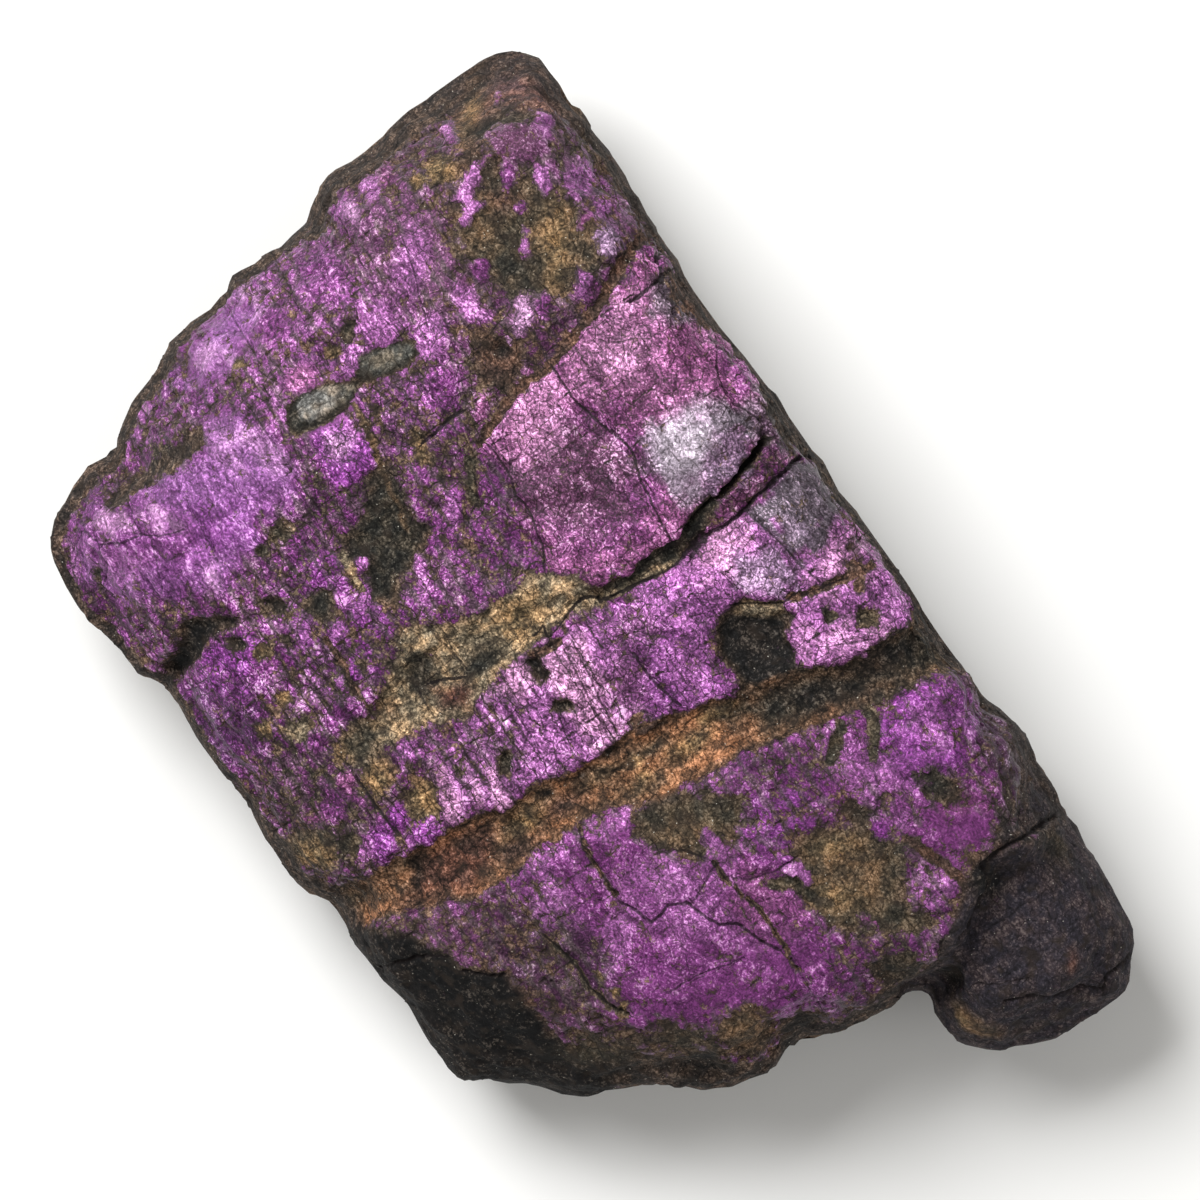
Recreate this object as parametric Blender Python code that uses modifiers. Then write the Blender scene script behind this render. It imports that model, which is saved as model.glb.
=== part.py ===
"""Purpurite: one rough slab of the mineral, lying on a small flat spot with its purple face up.

Metres, +Z up. The slab's long side runs along X, and the origin is under the middle of its
box, on the flat spot. The slab starts as a flat outline with thickness, is cut into even
facets, and is then shaped: a domed purple face, worn rims, broken faces and a rough underside.
"""

import math

import bmesh
import bpy
import numpy as np
from mathutils import Vector, noise

NAME = "purpurite"

# Real sizes of the slab. It is widest at a level that wanders a little up and down.
LENGTH = 0.079
CREST_HEIGHT = 0.0255
WIDEST_HEIGHT = 0.011
WIDEST_WANDER = 0.0018
WANDER_WAVE = 0.016
LEAST_WALL = 0.0014

# The plate it is shaped from is cut into facets of this size, then thinned to so many
FACET = 0.00055
MOST_TRIANGLES = 9000

# How the slab lies in the picture, seen from straight above: its long side runs down to the
# right, this far below level. Places on it are given as right and down in picture units.
LONG_SIDE_SLOPE = math.radians(56)

# The silhouette, clockwise from the top tip
OUTLINE = [
    (493, 54), (520, 52), (540, 59), (548, 71), (557, 89), (570, 105), (579, 115), (598, 142),
    (612, 160), (622, 179), (635, 196), (639, 207), (645, 216), (658, 232), (667, 251),
    (676, 263), (681, 277), (695, 299), (715, 325), (730, 343), (745, 362), (766, 390),
    (777, 399), (788, 420), (803, 443), (811, 456), (818, 460), (830, 483), (857, 518),
    (872, 538), (899, 573), (919, 605), (942, 633), (962, 664), (982, 699), (997, 711),
    (1017, 724), (1027, 739), (1033, 758), (1045, 775), (1055, 795), (1064, 818), (1081, 844),
    (1096, 862), (1109, 885), (1122, 908), (1131, 928), (1132, 948), (1127, 957), (1128, 982),
    (1125, 993), (1106, 1005), (1081, 1022), (1055, 1036), (1024, 1045), (999, 1050),
    (978, 1048), (963, 1042), (950, 1033), (943, 1018), (928, 998), (921, 995), (906, 998),
    (892, 1005), (874, 1016), (838, 1030), (804, 1038), (789, 1048), (773, 1068), (750, 1077),
    (727, 1087), (702, 1091), (678, 1086), (666, 1080), (638, 1084), (603, 1090), (586, 1096),
    (573, 1094), (537, 1086), (524, 1081), (509, 1082), (484, 1078), (473, 1083), (463, 1081),
    (450, 1070), (435, 1050), (422, 1026), (407, 1001), (384, 978), (353, 938), (329, 905),
    (308, 891), (293, 877), (280, 858), (255, 817), (248, 800), (219, 767), (204, 745),
    (177, 699), (164, 684), (143, 673), (127, 655), (94, 622), (79, 607), (69, 589), (52, 553),
    (52, 538), (56, 517), (64, 505), (76, 484), (89, 469), (116, 450), (121, 433), (136, 400),
    (153, 379), (167, 355), (168, 346), (189, 325), (212, 310), (227, 295), (232, 282),
    (247, 270), (255, 267), (270, 251), (283, 246), (300, 230), (309, 227), (311, 217),
    (318, 194), (323, 181), (338, 170), (367, 152), (380, 140), (400, 119), (425, 102),
    (459, 76), (474, 66),
]

# The rim beside each of these places: how far the wall leans in above the widest level, how
# wide the worn edge is, and how far the face falls across it, in millimetres
RIM_STATIONS = [
    ((515, 55), 1.6, 6.0, 5.0), ((600, 150), 1.6, 4.0, 2.4), ((690, 290), 1.0, 2.4, 1.4),
    ((760, 380), 0.9, 2.0, 1.0), ((800, 445), 1.2, 2.4, 1.8), ((870, 540), 0.9, 2.0, 1.0),
    ((950, 645), 1.0, 2.2, 1.2), ((1020, 730), 1.4, 4.5, 2.8), ((1060, 810), 1.5, 4.5, 2.8),
    ((1110, 885), 1.4, 3.5, 2.0), ((1128, 960), 1.3, 3.0, 2.2), ((1060, 1035), 1.5, 4.0, 3.0),
    ((960, 1040), 1.3, 4.0, 3.0), ((920, 996), 0.9, 3.0, 3.0), ((830, 1030), 1.3, 4.5, 3.0),
    ((700, 1090), 1.4, 5.5, 4.0), ((560, 1092), 1.0, 4.0, 3.0), ((450, 1070), 0.8, 2.0, 1.0),
    ((380, 975), 0.8, 2.0, 1.0), ((320, 900), 1.2, 4.5, 3.2), ((240, 790), 1.2, 5.0, 3.6),
    ((160, 680), 1.2, 5.5, 4.4), ((90, 620), 1.4, 7.0, 5.2), ((55, 545), 1.6, 8.0, 6.0),
    ((90, 470), 1.6, 8.5, 6.4), ((130, 410), 1.6, 8.5, 6.2), ((190, 325), 1.6, 8.0, 6.0),
    ((270, 250), 1.6, 7.5, 6.0), ((320, 185), 1.6, 7.0, 5.6), ((400, 119), 1.6, 6.5, 5.4),
]

# Each place on the rim takes after the nearest stations: a station counts in full this near
# to it, and less with this power of the distance
STATION_NEAR = 0.001
STATION_POWER = 3

# The purple face: its highest place, and how far it has fallen 100 picture units away,
# along and across the slab, in millimetres
FACE_CREST = (660, 420)
FALL_ALONG = 0.125
FALL_ACROSS = 0.22

# Swells (above 0) and hollows (below 0) on the face: place, half-width, height in millimetres
SWELLS = [
    ((700, 440), 62, 0.9), ((640, 370), 80, 0.3), ((560, 690), 60, 0.5), ((250, 460), 70, 0.8),
    ((110, 530), 40, 0.9), ((345, 455), 40, 0.4), ((220, 350), 45, 0.8), ((380, 300), 60, 0.4),
    ((480, 200), 50, -0.4), ((400, 540), 45, -0.5), ((755, 640), 32, -0.9), ((880, 620), 50, 0.4),
    ((930, 730), 60, 0.6), ((850, 870), 40, -0.4), ((700, 900), 80, 0.7), ((240, 720), 45, 0.5),
    ((205, 640), 26, -0.9), ((420, 800), 60, 0.3), ((590, 930), 60, -0.5), ((560, 140), 40, 0.4),
]

# Veins that lie lower than the face: the middle line, half-width, depth in millimetres
CHANNELS = [
    ([(335, 905), (430, 872), (510, 842), (600, 790), (700, 735), (800, 702), (880, 678),
      (950, 645)], 30, 0.9),
    ([(385, 725), (430, 675), (520, 620), (600, 602), (700, 548), (765, 492), (812, 458)],
     20, 0.7),
    ([(655, 232), (600, 305), (522, 378), (480, 438)], 12, 0.35),
]
CHANNEL_FLOOR = 0.3  # share of the half-width that is level

# Broken faces: two places on the edge where each starts, and one on the rim that it falls to,
# with their heights in millimetres
BROKEN_FACES = [
    [((362, 928), 18.6), ((505, 972), 20.2), ((436, 1062), 12.6)],
    [((505, 972), 20.2), ((622, 1062), 16.6), ((478, 1090), 12.4)],
    [((1004, 1002), 16.2), ((1110, 972), 15.2), ((1070, 1034), 11.0)],
    [((470, 150), 21.5), ((350, 210), 21.2), ((390, 135), 14.5)],
]

# The dark block at the lower right stands this much lower than the purple face
BLOCK = [(1064, 818), (1047, 834), (1001, 855), (983, 852), (967, 894), (952, 927), (905, 980),
         (921, 1060), (1200, 1060), (1200, 818)]
BLOCK_DROP = 0.0030
BLOCK_STEP = 0.0012

# Chips off the underside: the place on the silhouette where each is cut, the height that it
# starts at in millimetres, and how steeply it runs down and in, in degrees from level
CHIPS = [
    ((700, 305), 9.0, 48), ((870, 540), 6.5, 38), ((1030, 750), 9.4, 52), ((1128, 960), 9.0, 40),
    ((800, 1040), 8.0, 50), ((640, 1084), 9.6, 34), ((450, 1070), 9.0, 46), ((220, 768), 7.5, 52),
    ((90, 620), 9.4, 36), ((140, 395), 8.8, 44), ((345, 165), 9.6, 38), ((560, 92), 8.0, 50),
]

# The underside: how far in it levels out, its rise from there to the wall and how late that
# rise sets in, how much of it the flat spot takes off, and the height of the wall's foot
UNDERSIDE_REACH = 0.019
UNDERSIDE_RISE = 0.0096
UNDERSIDE_CURVE = 1.7
FLAT_SPOT_SINK = 0.0008
FOOT_HEIGHT = 0.0078
FOOT_WANDER = 0.0030
FLAT_HAIR = 0.00002

# The wall's lean fades out this far in from the silhouette, and grows with this power of the
# height above the widest level
LEAN_REACH = 0.009
LEAN_CURVE = 1.6

# The way in from the silhouette is averaged over its sides within about this far
TURN_SOFTNESS = 0.0011

# Unevenness: long and short waves, and how far each moves the surface
LONG_WAVE, SHORT_WAVE = 0.009, 0.0026
FACE_LONG, FACE_SHORT = 0.00035, 0.00014
WALL_LONG, WALL_SHORT = 0.0011, 0.0005
UNDERSIDE_LONG, UNDERSIDE_SHORT = 0.0015, 0.00045
WALL_BAND = 0.003
WIDEST_BAND = 0.0045

# Each octave of the noise is so much weaker and finer than the one before
OCTAVE_FADE, OCTAVE_FINER, OCTAVES = 1.0, 2.1, 4

# Share of the way up from the underside to the face: its roughness is full up to the first
# and gone at the second
BELOW_FULL, BELOW_GONE = 0.45, 0.70

PURPLE = (0.205, 0.040, 0.220, 1.0)
ROUGHNESS = 0.55


def turned(right, down):
    """Picture units to directions along and across the slab."""
    cos, sin = math.cos(LONG_SIDE_SLOPE), math.sin(LONG_SIDE_SLOPE)
    return right * cos + down * sin, right * sin - down * cos


def slab_scale():
    """Metres in a picture unit, and the middle of the outline's box in turned units."""
    along, across = turned(*np.array(OUTLINE, float).T)
    scale = LENGTH / (along.max() - along.min())
    return scale, (along.max() + along.min()) / 2, (across.max() + across.min()) / 2


SCALE, MIDDLE_ALONG, MIDDLE_ACROSS = slab_scale()


def place(points):
    """Places in the picture to X and Y on the slab, in metres."""
    along, across = turned(*np.array(points, float).reshape(-1, 2).T)
    return np.stack([(along - MIDDLE_ALONG) * SCALE, (across - MIDDLE_ACROSS) * SCALE], axis=1)


def smooth_step(x):
    """0 below 0, 1 above 1, and an even curve between."""
    x = np.clip(x, 0, 1)
    return x * x * (3 - 2 * x)


def to_line(xy, line, closed=False):
    """Distance from each point to a line of straight pieces, and the way in from it."""
    ends = np.roll(line, -1, axis=0) if closed else line[1:]
    starts = line if closed else line[:-1]
    run = ends - starts
    length = np.linalg.norm(run, axis=1)
    offset = xy[:, None] - starts[None]
    along = np.clip((offset * run).sum(2) / length**2, 0, 1)
    gap = np.linalg.norm(offset - along[..., None] * run, axis=2)
    inward = np.stack([run[:, 1], -run[:, 0]], axis=1) / length[:, None]
    weight = length / (gap**2 + TURN_SOFTNESS**2) ** 2
    way = (inward[None] * weight[..., None]).sum(1)
    return gap.min(axis=1), way / np.linalg.norm(way, axis=1)[:, None]


def inside(xy, corners):
    """Whether each point is inside a closed outline, by counting the sides it looks past."""
    a, b = corners, np.roll(corners, -1, axis=0)
    x, y = xy[:, 0, None], xy[:, 1, None]
    spans = (a[:, 1] > y) != (b[:, 1] > y)
    rise = np.where(b[:, 1] == a[:, 1], 1, b[:, 1] - a[:, 1])
    cross = a[:, 0] + (y - a[:, 1]) * (b[:, 0] - a[:, 0]) / rise
    return ((spans & (x < cross)).sum(1) % 2) == 1


def roughness_at(points, wavelength, seed):
    """Fractal noise from -1 to 1 at each point; each seed reads it somewhere else."""
    shift = Vector((seed * 3.1, seed * 1.7, seed * 2.3))
    places = [Vector(point) / wavelength + shift for point in points]
    return np.array([noise.fractal(p, OCTAVE_FADE, OCTAVE_FINER, OCTAVES) for p in places])


def rim_at(xy):
    """Lean, width and fall of the rim near each point, blended from the stations."""
    spots = place([spot for spot, *_ in RIM_STATIONS])
    values = np.array([sizes for _, *sizes in RIM_STATIONS]) / 1000
    gap = np.linalg.norm(xy[:, None] - spots[None], axis=2)
    weight = 1 / (gap + STATION_NEAR) ** STATION_POWER
    return (weight @ values / weight.sum(1)[:, None]).T


def plane_height(xy, corners):
    """Height at each point of the plane through three corners."""
    spots = place([spot for spot, _ in corners])
    heights = np.array([height for _, height in corners]) / 1000
    slope = np.linalg.solve(np.column_stack([spots, np.ones(3)]), heights)
    return xy @ slope[:2] + slope[2]


def face_height(xy, edge):
    """Height of the purple face, before its rim is worn down."""
    crest = place([FACE_CREST])[0]
    away = (xy - crest) / (100 * SCALE)
    height = CREST_HEIGHT - (FALL_ALONG * away[:, 0] ** 2 + FALL_ACROSS * away[:, 1] ** 2) / 1000
    for spot, width, rise in SWELLS:
        gap = np.linalg.norm(xy - place([spot])[0], axis=1) / (width * SCALE)
        height += rise / 1000 * np.exp(-(gap**2))
    for line, width, depth in CHANNELS:
        gap, _ = to_line(xy, place(line))
        height -= depth / 1000 * (1 - smooth_step(gap / (width * SCALE) - CHANNEL_FLOOR))
    block = place(BLOCK)
    gap, _ = to_line(xy, block, closed=True)
    height -= BLOCK_DROP * inside(xy, block) * smooth_step(gap / BLOCK_STEP)
    _, width, fall = rim_at(xy)
    worn = 1 - np.clip(edge / width, 0, 1)
    height -= fall * worn**2
    for corners in BROKEN_FACES:
        height = np.minimum(height, plane_height(xy, corners))
    return np.maximum(height, WIDEST_HEIGHT + LEAST_WALL)


def underside_height(xy, edge, wander):
    """Height of the underside: lowest in the middle, where the flat spot cuts it off."""
    reach = np.clip(1 - edge / UNDERSIDE_REACH, 0, 1) ** UNDERSIDE_CURVE
    height = UNDERSIDE_RISE * reach - FLAT_SPOT_SINK
    for spot, start, steepness in CHIPS:
        foot = place([spot])
        _, way_in = to_line(foot, place(OUTLINE), closed=True)
        depth = (xy - foot[0]) @ way_in[0]
        height = np.maximum(height, start / 1000 - math.tan(math.radians(steepness)) * depth)
    return np.minimum(height, FOOT_HEIGHT + FOOT_WANDER * wander)


def make_blank():
    """The outline as a thick flat plate, in even small facets."""
    curve = bpy.data.curves.new("outline", "CURVE")
    curve.dimensions = "2D"
    curve.fill_mode = "BOTH"
    curve.extrude = WIDEST_HEIGHT
    spline = curve.splines.new("POLY")
    corners = place(OUTLINE)
    spline.points.add(len(corners) - 1)
    for point, (x, y) in zip(spline.points, corners):
        point.co = (x, y, 0, 1)
    spline.use_cyclic_u = True
    plate = bpy.data.objects.new("outline", curve)
    bpy.context.scene.collection.objects.link(plate)

    mesh = evaluated_mesh(plate)
    bpy.data.objects.remove(plate)
    shape = bmesh.new()
    shape.from_mesh(mesh)
    bmesh.ops.remove_doubles(shape, verts=shape.verts, dist=1e-6)
    shape.to_mesh(mesh)
    shape.free()

    blank = bpy.data.objects.new("blank", mesh)
    bpy.context.scene.collection.objects.link(blank)
    remesh = blank.modifiers.new("even facets", "REMESH")
    remesh.mode = "VOXEL"
    remesh.voxel_size = FACET
    faceted = evaluated_mesh(blank)
    bpy.data.objects.remove(blank)
    return faceted


def evaluated_mesh(thing):
    """A plain mesh of an object with its modifiers applied."""
    bpy.context.view_layer.update()
    return bpy.data.meshes.new_from_object(thing.evaluated_get(bpy.context.evaluated_depsgraph_get()))


def points_of(mesh):
    flat = np.empty(len(mesh.vertices) * 3)
    mesh.vertices.foreach_get("co", flat)
    return flat.reshape(-1, 3)


def lay_between(points):
    """Plate points moved to lie between the underside and the face, with leaning walls."""
    xy = points[:, :2]
    edge, way_in = to_line(xy, place(OUTLINE), closed=True)
    edge = edge * np.where(inside(xy, place(OUTLINE)), 1, 0)
    level = np.clip(points[:, 2] / (2 * WIDEST_HEIGHT) + 0.5, 0, 1)
    lean, _, _ = rim_at(xy)
    above = np.clip(level * 2 - 1, 0, 1) ** LEAN_CURVE
    near_wall = 1 - smooth_step(edge / LEAN_REACH)
    moved = xy + way_in * (lean * above * near_wall)[:, None]

    top = face_height(moved, edge)
    wander = roughness_at(np.column_stack([xy, 0 * edge]), WANDER_WAVE, 5)
    bottom = underside_height(moved, edge, wander)
    middle = WIDEST_HEIGHT + WIDEST_WANDER * wander
    upper = middle + (top - middle) * np.clip(level * 2 - 1, 0, 1)
    lower = bottom + (middle - bottom) * np.clip(level * 2, 0, 1)
    return np.column_stack([moved, np.where(level > 0.5, upper, lower)]), edge, level


def roughen(mesh, edge, level):
    """Rock-like unevenness: strong below and on the walls, slight on the purple face."""
    points = points_of(mesh)
    normals = np.array([normal.vector for normal in mesh.vertex_normals])
    below = 1 - smooth_step((level - BELOW_FULL) / (BELOW_GONE - BELOW_FULL))
    wall = 1 - smooth_step(edge / WALL_BAND)
    coarse = roughness_at(points, LONG_WAVE, 1)
    fine = roughness_at(points, SHORT_WAVE, 2)
    on_face = (1 - below) * (1 - wall)
    on_wall = wall * smooth_step(np.abs(points[:, 2] - WIDEST_HEIGHT) / WIDEST_BAND)
    rise = (UNDERSIDE_LONG * coarse + UNDERSIDE_SHORT * fine) * below * (1 - wall)
    rise += (FACE_LONG * coarse + FACE_SHORT * fine) * on_face
    rise -= np.abs(WALL_LONG * coarse + WALL_SHORT * fine) * on_wall
    return points + normals * rise[:, None]


def rest_flat(points):
    """Everything below the flat spot's plane, or within a hair of it, lies on it."""
    points[points[:, 2] < FLAT_HAIR, 2] = 0
    return points


def thinned(mesh):
    """The mesh with no more facets than its shape needs."""
    holder = bpy.data.objects.new("holder", mesh)
    bpy.context.scene.collection.objects.link(holder)
    decimate = holder.modifiers.new("thin", "DECIMATE")
    triangles = sum(len(face.vertices) - 2 for face in mesh.polygons)
    decimate.ratio = MOST_TRIANGLES / triangles
    slim = evaluated_mesh(holder)
    bpy.data.objects.remove(holder)
    return slim


def purple_material():
    material = bpy.data.materials.new("purpurite")
    material.use_nodes = True
    shader = material.node_tree.nodes["Principled BSDF"]
    shader.inputs["Base Color"].default_value = PURPLE
    shader.inputs["Roughness"].default_value = ROUGHNESS
    shader.inputs["Metallic"].default_value = 0.0
    return material


def make_stone():
    blank = make_blank()
    points, edge, level = lay_between(points_of(blank))
    blank.vertices.foreach_set("co", points.ravel())
    blank.update()
    blank.vertices.foreach_set("co", rest_flat(roughen(blank, edge, level)).ravel())
    slim = thinned(blank)
    points = rest_flat(points_of(slim))
    middle = (points[:, :2].max(axis=0) + points[:, :2].min(axis=0)) / 2
    points[:, :2] -= middle
    slim.vertices.foreach_set("co", points.ravel())
    slim.update()
    slim.name = NAME
    slim.materials.append(purple_material())
    return bpy.data.objects.new(NAME, slim)


def main():
    for thing in list(bpy.data.objects):
        bpy.data.objects.remove(thing)
    parts = bpy.data.collections.new(NAME)
    bpy.context.scene.collection.children.link(parts)
    parts.objects.link(make_stone())


main()
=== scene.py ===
# %% [markdown]
# # A rough piece of purpurite
# Purpurite is a manganese and iron phosphate. It breaks along flat cleavages, and the broken
# face shines like purple satin, with brown and olive matrix, rusty veins and dark crusts.
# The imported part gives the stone's size and its large shape. This lesson gives it the fine
# shape (cracks, cleavage blocks, pits and crumbs) and the finish.

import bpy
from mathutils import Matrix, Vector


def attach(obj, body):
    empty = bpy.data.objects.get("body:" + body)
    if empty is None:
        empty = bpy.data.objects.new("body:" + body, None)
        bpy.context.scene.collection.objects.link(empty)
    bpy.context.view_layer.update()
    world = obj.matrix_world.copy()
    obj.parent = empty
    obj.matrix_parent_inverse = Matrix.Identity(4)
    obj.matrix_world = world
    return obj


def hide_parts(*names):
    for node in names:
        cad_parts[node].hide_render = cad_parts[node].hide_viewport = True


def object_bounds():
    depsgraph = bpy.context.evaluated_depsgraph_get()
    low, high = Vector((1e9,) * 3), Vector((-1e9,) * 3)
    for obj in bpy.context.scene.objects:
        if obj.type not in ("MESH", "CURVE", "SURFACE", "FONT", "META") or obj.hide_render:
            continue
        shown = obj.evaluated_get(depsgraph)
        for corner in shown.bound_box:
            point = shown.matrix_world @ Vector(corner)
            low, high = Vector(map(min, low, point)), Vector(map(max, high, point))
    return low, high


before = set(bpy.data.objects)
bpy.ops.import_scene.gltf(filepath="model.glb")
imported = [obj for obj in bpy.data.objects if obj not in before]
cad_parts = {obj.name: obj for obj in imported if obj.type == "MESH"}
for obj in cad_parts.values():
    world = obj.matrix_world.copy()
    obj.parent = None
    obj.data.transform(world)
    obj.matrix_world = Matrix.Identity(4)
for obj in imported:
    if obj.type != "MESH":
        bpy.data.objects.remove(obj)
CAD_BOX = [list(corner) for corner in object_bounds()]
STONE = "purpurite"
print("CAD box in mm:", [[round(1000 * value, 1) for value in corner] for corner in CAD_BOX])

# %% Tools of this lesson
import math

import bmesh
import bpy
import numpy as np
from mathutils import Vector, noise

MM = 0.001

# %% [markdown]
# ## Picture units
# Marks on a natural stone follow no rule, so they are traced from the picture, as
# places in picture units: so many to the right and so many down, on a sheet 1200 units wide.
# The outline is the stone's silhouette. Its long side runs down to the right in the picture
# and along X on the stone, so one turn and one scale take picture places to the stone.

# %% The silhouette and the scale
PICTURE_SIDE = 1200
LONG_SIDE_SLOPE = math.radians(56)
OUTLINE = [
    (493, 54), (520, 52), (540, 59), (548, 71), (557, 89), (570, 105), (579, 115), (598, 142), (612, 160),
    (622, 179), (635, 196), (639, 207), (645, 216), (658, 232), (667, 251), (676, 263), (681, 277),
    (695, 299), (715, 325), (730, 343), (745, 362), (766, 390), (777, 399), (788, 420), (803, 443),
    (811, 456), (818, 460), (830, 483), (857, 518), (872, 538), (899, 573), (919, 605), (942, 633),
    (962, 664), (982, 699), (997, 711), (1017, 724), (1027, 739), (1033, 758), (1045, 775), (1055, 795),
    (1064, 818), (1081, 844), (1096, 862), (1109, 885), (1122, 908), (1131, 928), (1132, 948),
    (1127, 957), (1128, 982), (1125, 993), (1106, 1005), (1081, 1022), (1055, 1036), (1024, 1045),
    (999, 1050), (978, 1048), (963, 1042), (950, 1033), (943, 1018), (928, 998), (921, 995), (906, 998),
    (892, 1005), (874, 1016), (838, 1030), (804, 1038), (789, 1048), (773, 1068), (750, 1077),
    (727, 1087), (702, 1091), (678, 1086), (666, 1080), (638, 1084), (603, 1090), (586, 1096),
    (573, 1094), (537, 1086), (524, 1081), (509, 1082), (484, 1078), (473, 1083), (463, 1081),
    (450, 1070), (435, 1050), (422, 1026), (407, 1001), (384, 978), (353, 938), (329, 905), (308, 891),
    (293, 877), (280, 858), (255, 817), (248, 800), (219, 767), (204, 745), (177, 699), (164, 684),
    (143, 673), (127, 655), (94, 622), (79, 607), (69, 589), (52, 553), (52, 538), (56, 517), (64, 505),
    (76, 484), (89, 469), (116, 450), (121, 433), (136, 400), (153, 379), (167, 355), (168, 346),
    (189, 325), (212, 310), (227, 295), (232, 282), (247, 270), (255, 267), (270, 251), (283, 246),
    (300, 230), (309, 227), (311, 217), (318, 194), (323, 181), (338, 170), (367, 152), (380, 140),
    (400, 119), (425, 102), (459, 76), (474, 66),
]


def turned(places):
    """Picture places as distances along and across the stone, still in picture units."""
    right, down = np.asarray(places, float).reshape(-1, 2).T
    cos, sin = math.cos(LONG_SIDE_SLOPE), math.sin(LONG_SIDE_SLOPE)
    return np.stack([right * cos + down * sin, right * sin - down * cos], axis=1)


LOW, HIGH = turned(OUTLINE).min(axis=0), turned(OUTLINE).max(axis=0)
UNIT = (CAD_BOX[1][0] - CAD_BOX[0][0]) / (HIGH[0] - LOW[0])


def on_slab(places):
    """Picture places as X and Y on the stone, in metres."""
    return (turned(places) - (LOW + HIGH) / 2) * UNIT


print(f"one picture unit is {UNIT / MM:.4f} mm")

# %% [markdown]
# ## Camera
# The picture was taken from straight above. A camera that looks straight down, turned by the
# slope of the long side, gives the same view. A long lens from 0.8 m keeps the walls hidden
# under the worn rim, as in the picture. The stone is widest at about 11 mm above the floor.

# %% The camera
WIDEST_LEVEL = 0.011
CAMERA_DISTANCE, CLIP_RANGE = 0.8, (0.01, 10)
SENSOR_WIDTH = 36.0
CENTRE = on_slab([(PICTURE_SIDE / 2, PICTURE_SIDE / 2)])[0]

lens = bpy.data.cameras.new("camera")
lens.sensor_width = SENSOR_WIDTH
lens.lens = SENSOR_WIDTH * CAMERA_DISTANCE / (PICTURE_SIDE * UNIT)
lens.clip_start, lens.clip_end = CLIP_RANGE
camera = bpy.data.objects.new("camera", lens)
camera.location = (CENTRE[0], CENTRE[1], WIDEST_LEVEL + CAMERA_DISTANCE)
camera.rotation_euler = (0, 0, LONG_SIDE_SLOPE)
bpy.context.scene.collection.objects.link(camera)
bpy.context.scene.camera = camera
print(f"lens {lens.lens:.0f} mm, looking at {np.round(CENTRE / MM, 2)} mm")

# %% [markdown]
# ## Floor and light
# A pale matt floor, one large soft light from the picture's upper left, where the real
# light came from, a weaker one from the other side, and an even pale surrounding.

# %% The floor and the lights
FLOOR_SIDE = 3.0
FLOOR_FINISH = {"Base Color": (0.86, 0.86, 0.85, 1), "Roughness": 0.9}
SURROUNDING = {"Color": (1.0, 0.98, 0.94, 1), "Strength": 0.34}
LAMPS = {
    "key": {"right": -0.36, "up": 0.40, "height": 0.7, "side": 0.45, "power": 9.5},
    "fill": {"right": 0.6, "up": -0.3, "height": 0.7, "side": 0.6, "power": 1.6},
}
PICTURE_RIGHT = Vector((math.cos(LONG_SIDE_SLOPE), math.sin(LONG_SIDE_SLOPE), 0))
PICTURE_UP = Vector((-math.sin(LONG_SIDE_SLOPE), math.cos(LONG_SIDE_SLOPE), 0))


def set_inputs(node, values):
    for name, value in values.items():
        node.inputs[name].default_value = value


def soft_light(name, right, up, height, side, power):
    """A square lamp placed in the picture's directions, aimed at the stone."""
    data = bpy.data.lights.new(name, "AREA")
    data.shape, data.size, data.energy = "SQUARE", side, power
    lamp = bpy.data.objects.new(name, data)
    lamp.location = PICTURE_RIGHT * right + PICTURE_UP * up + Vector((0, 0, height))
    lamp.rotation_euler = (-lamp.location).to_track_quat("-Z", "Y").to_euler()
    bpy.context.scene.collection.objects.link(lamp)


half = FLOOR_SIDE / 2
corners = [(-half, -half, 0), (half, -half, 0), (half, half, 0), (-half, half, 0)]
floor_mesh = bpy.data.meshes.new("floor")
floor_mesh.from_pydata(corners, [], [(0, 1, 2, 3)])
floor = bpy.data.objects.new("floor", floor_mesh)
bpy.context.scene.collection.objects.link(floor)
floor_paint = bpy.data.materials.new("pale floor")
floor_paint.use_nodes = True
set_inputs(floor_paint.node_tree.nodes["Principled BSDF"], FLOOR_FINISH)
floor_mesh.materials.append(floor_paint)

for name, lamp in LAMPS.items():
    soft_light(name, **lamp)
world = bpy.data.worlds.new("surrounding")
world.use_nodes = True
set_inputs(world.node_tree.nodes["Background"], SURROUNDING)
bpy.context.scene.world = world
bpy.context.scene.view_settings.view_transform = "Standard"
print(f"floor, {len(LAMPS)} lamps and a pale surrounding")

# %% [markdown]
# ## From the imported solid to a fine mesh
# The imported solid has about 9000 facets, each a millimetre or so wide. The satin grain needs
# facets of about a fifth of a millimetre on the purple face, and coarser ones are enough on
# the walls and the underside. Remesh gives even facets, Smooth takes off the old ones, and
# Decimate with a vertex group thins only what the group holds.

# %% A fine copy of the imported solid
MERGE_DISTANCE = 1e-6
FINE_FACET = 0.000265
SMOOTHING, SMOOTHING_ROUNDS = 0.5, 5


def plain_mesh(thing):
    """A mesh of the object as its modifiers show it."""
    bpy.context.view_layer.update()
    shown = thing.evaluated_get(bpy.context.evaluated_depsgraph_get())
    return bpy.data.meshes.new_from_object(shown)


def three_numbers(items, name):
    """A property of three numbers, for each of the items."""
    flat = np.empty(len(items) * 3)
    items.foreach_get(name, flat)
    return flat.reshape(-1, 3)


def shape_of(mesh):
    """The places of a mesh's points, and the way that each one faces."""
    return three_numbers(mesh.vertices, "co"), three_numbers(mesh.vertex_normals, "vector")


def triangles_in(mesh):
    return sum(len(face.vertices) - 2 for face in mesh.polygons)


def smooth_step(x, low=0.0, high=1.0):
    """From 0 at low to 1 at high, level at both ends."""
    x = np.clip((x - low) / (high - low), 0, 1)
    return x * x * (3 - 2 * x)


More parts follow.
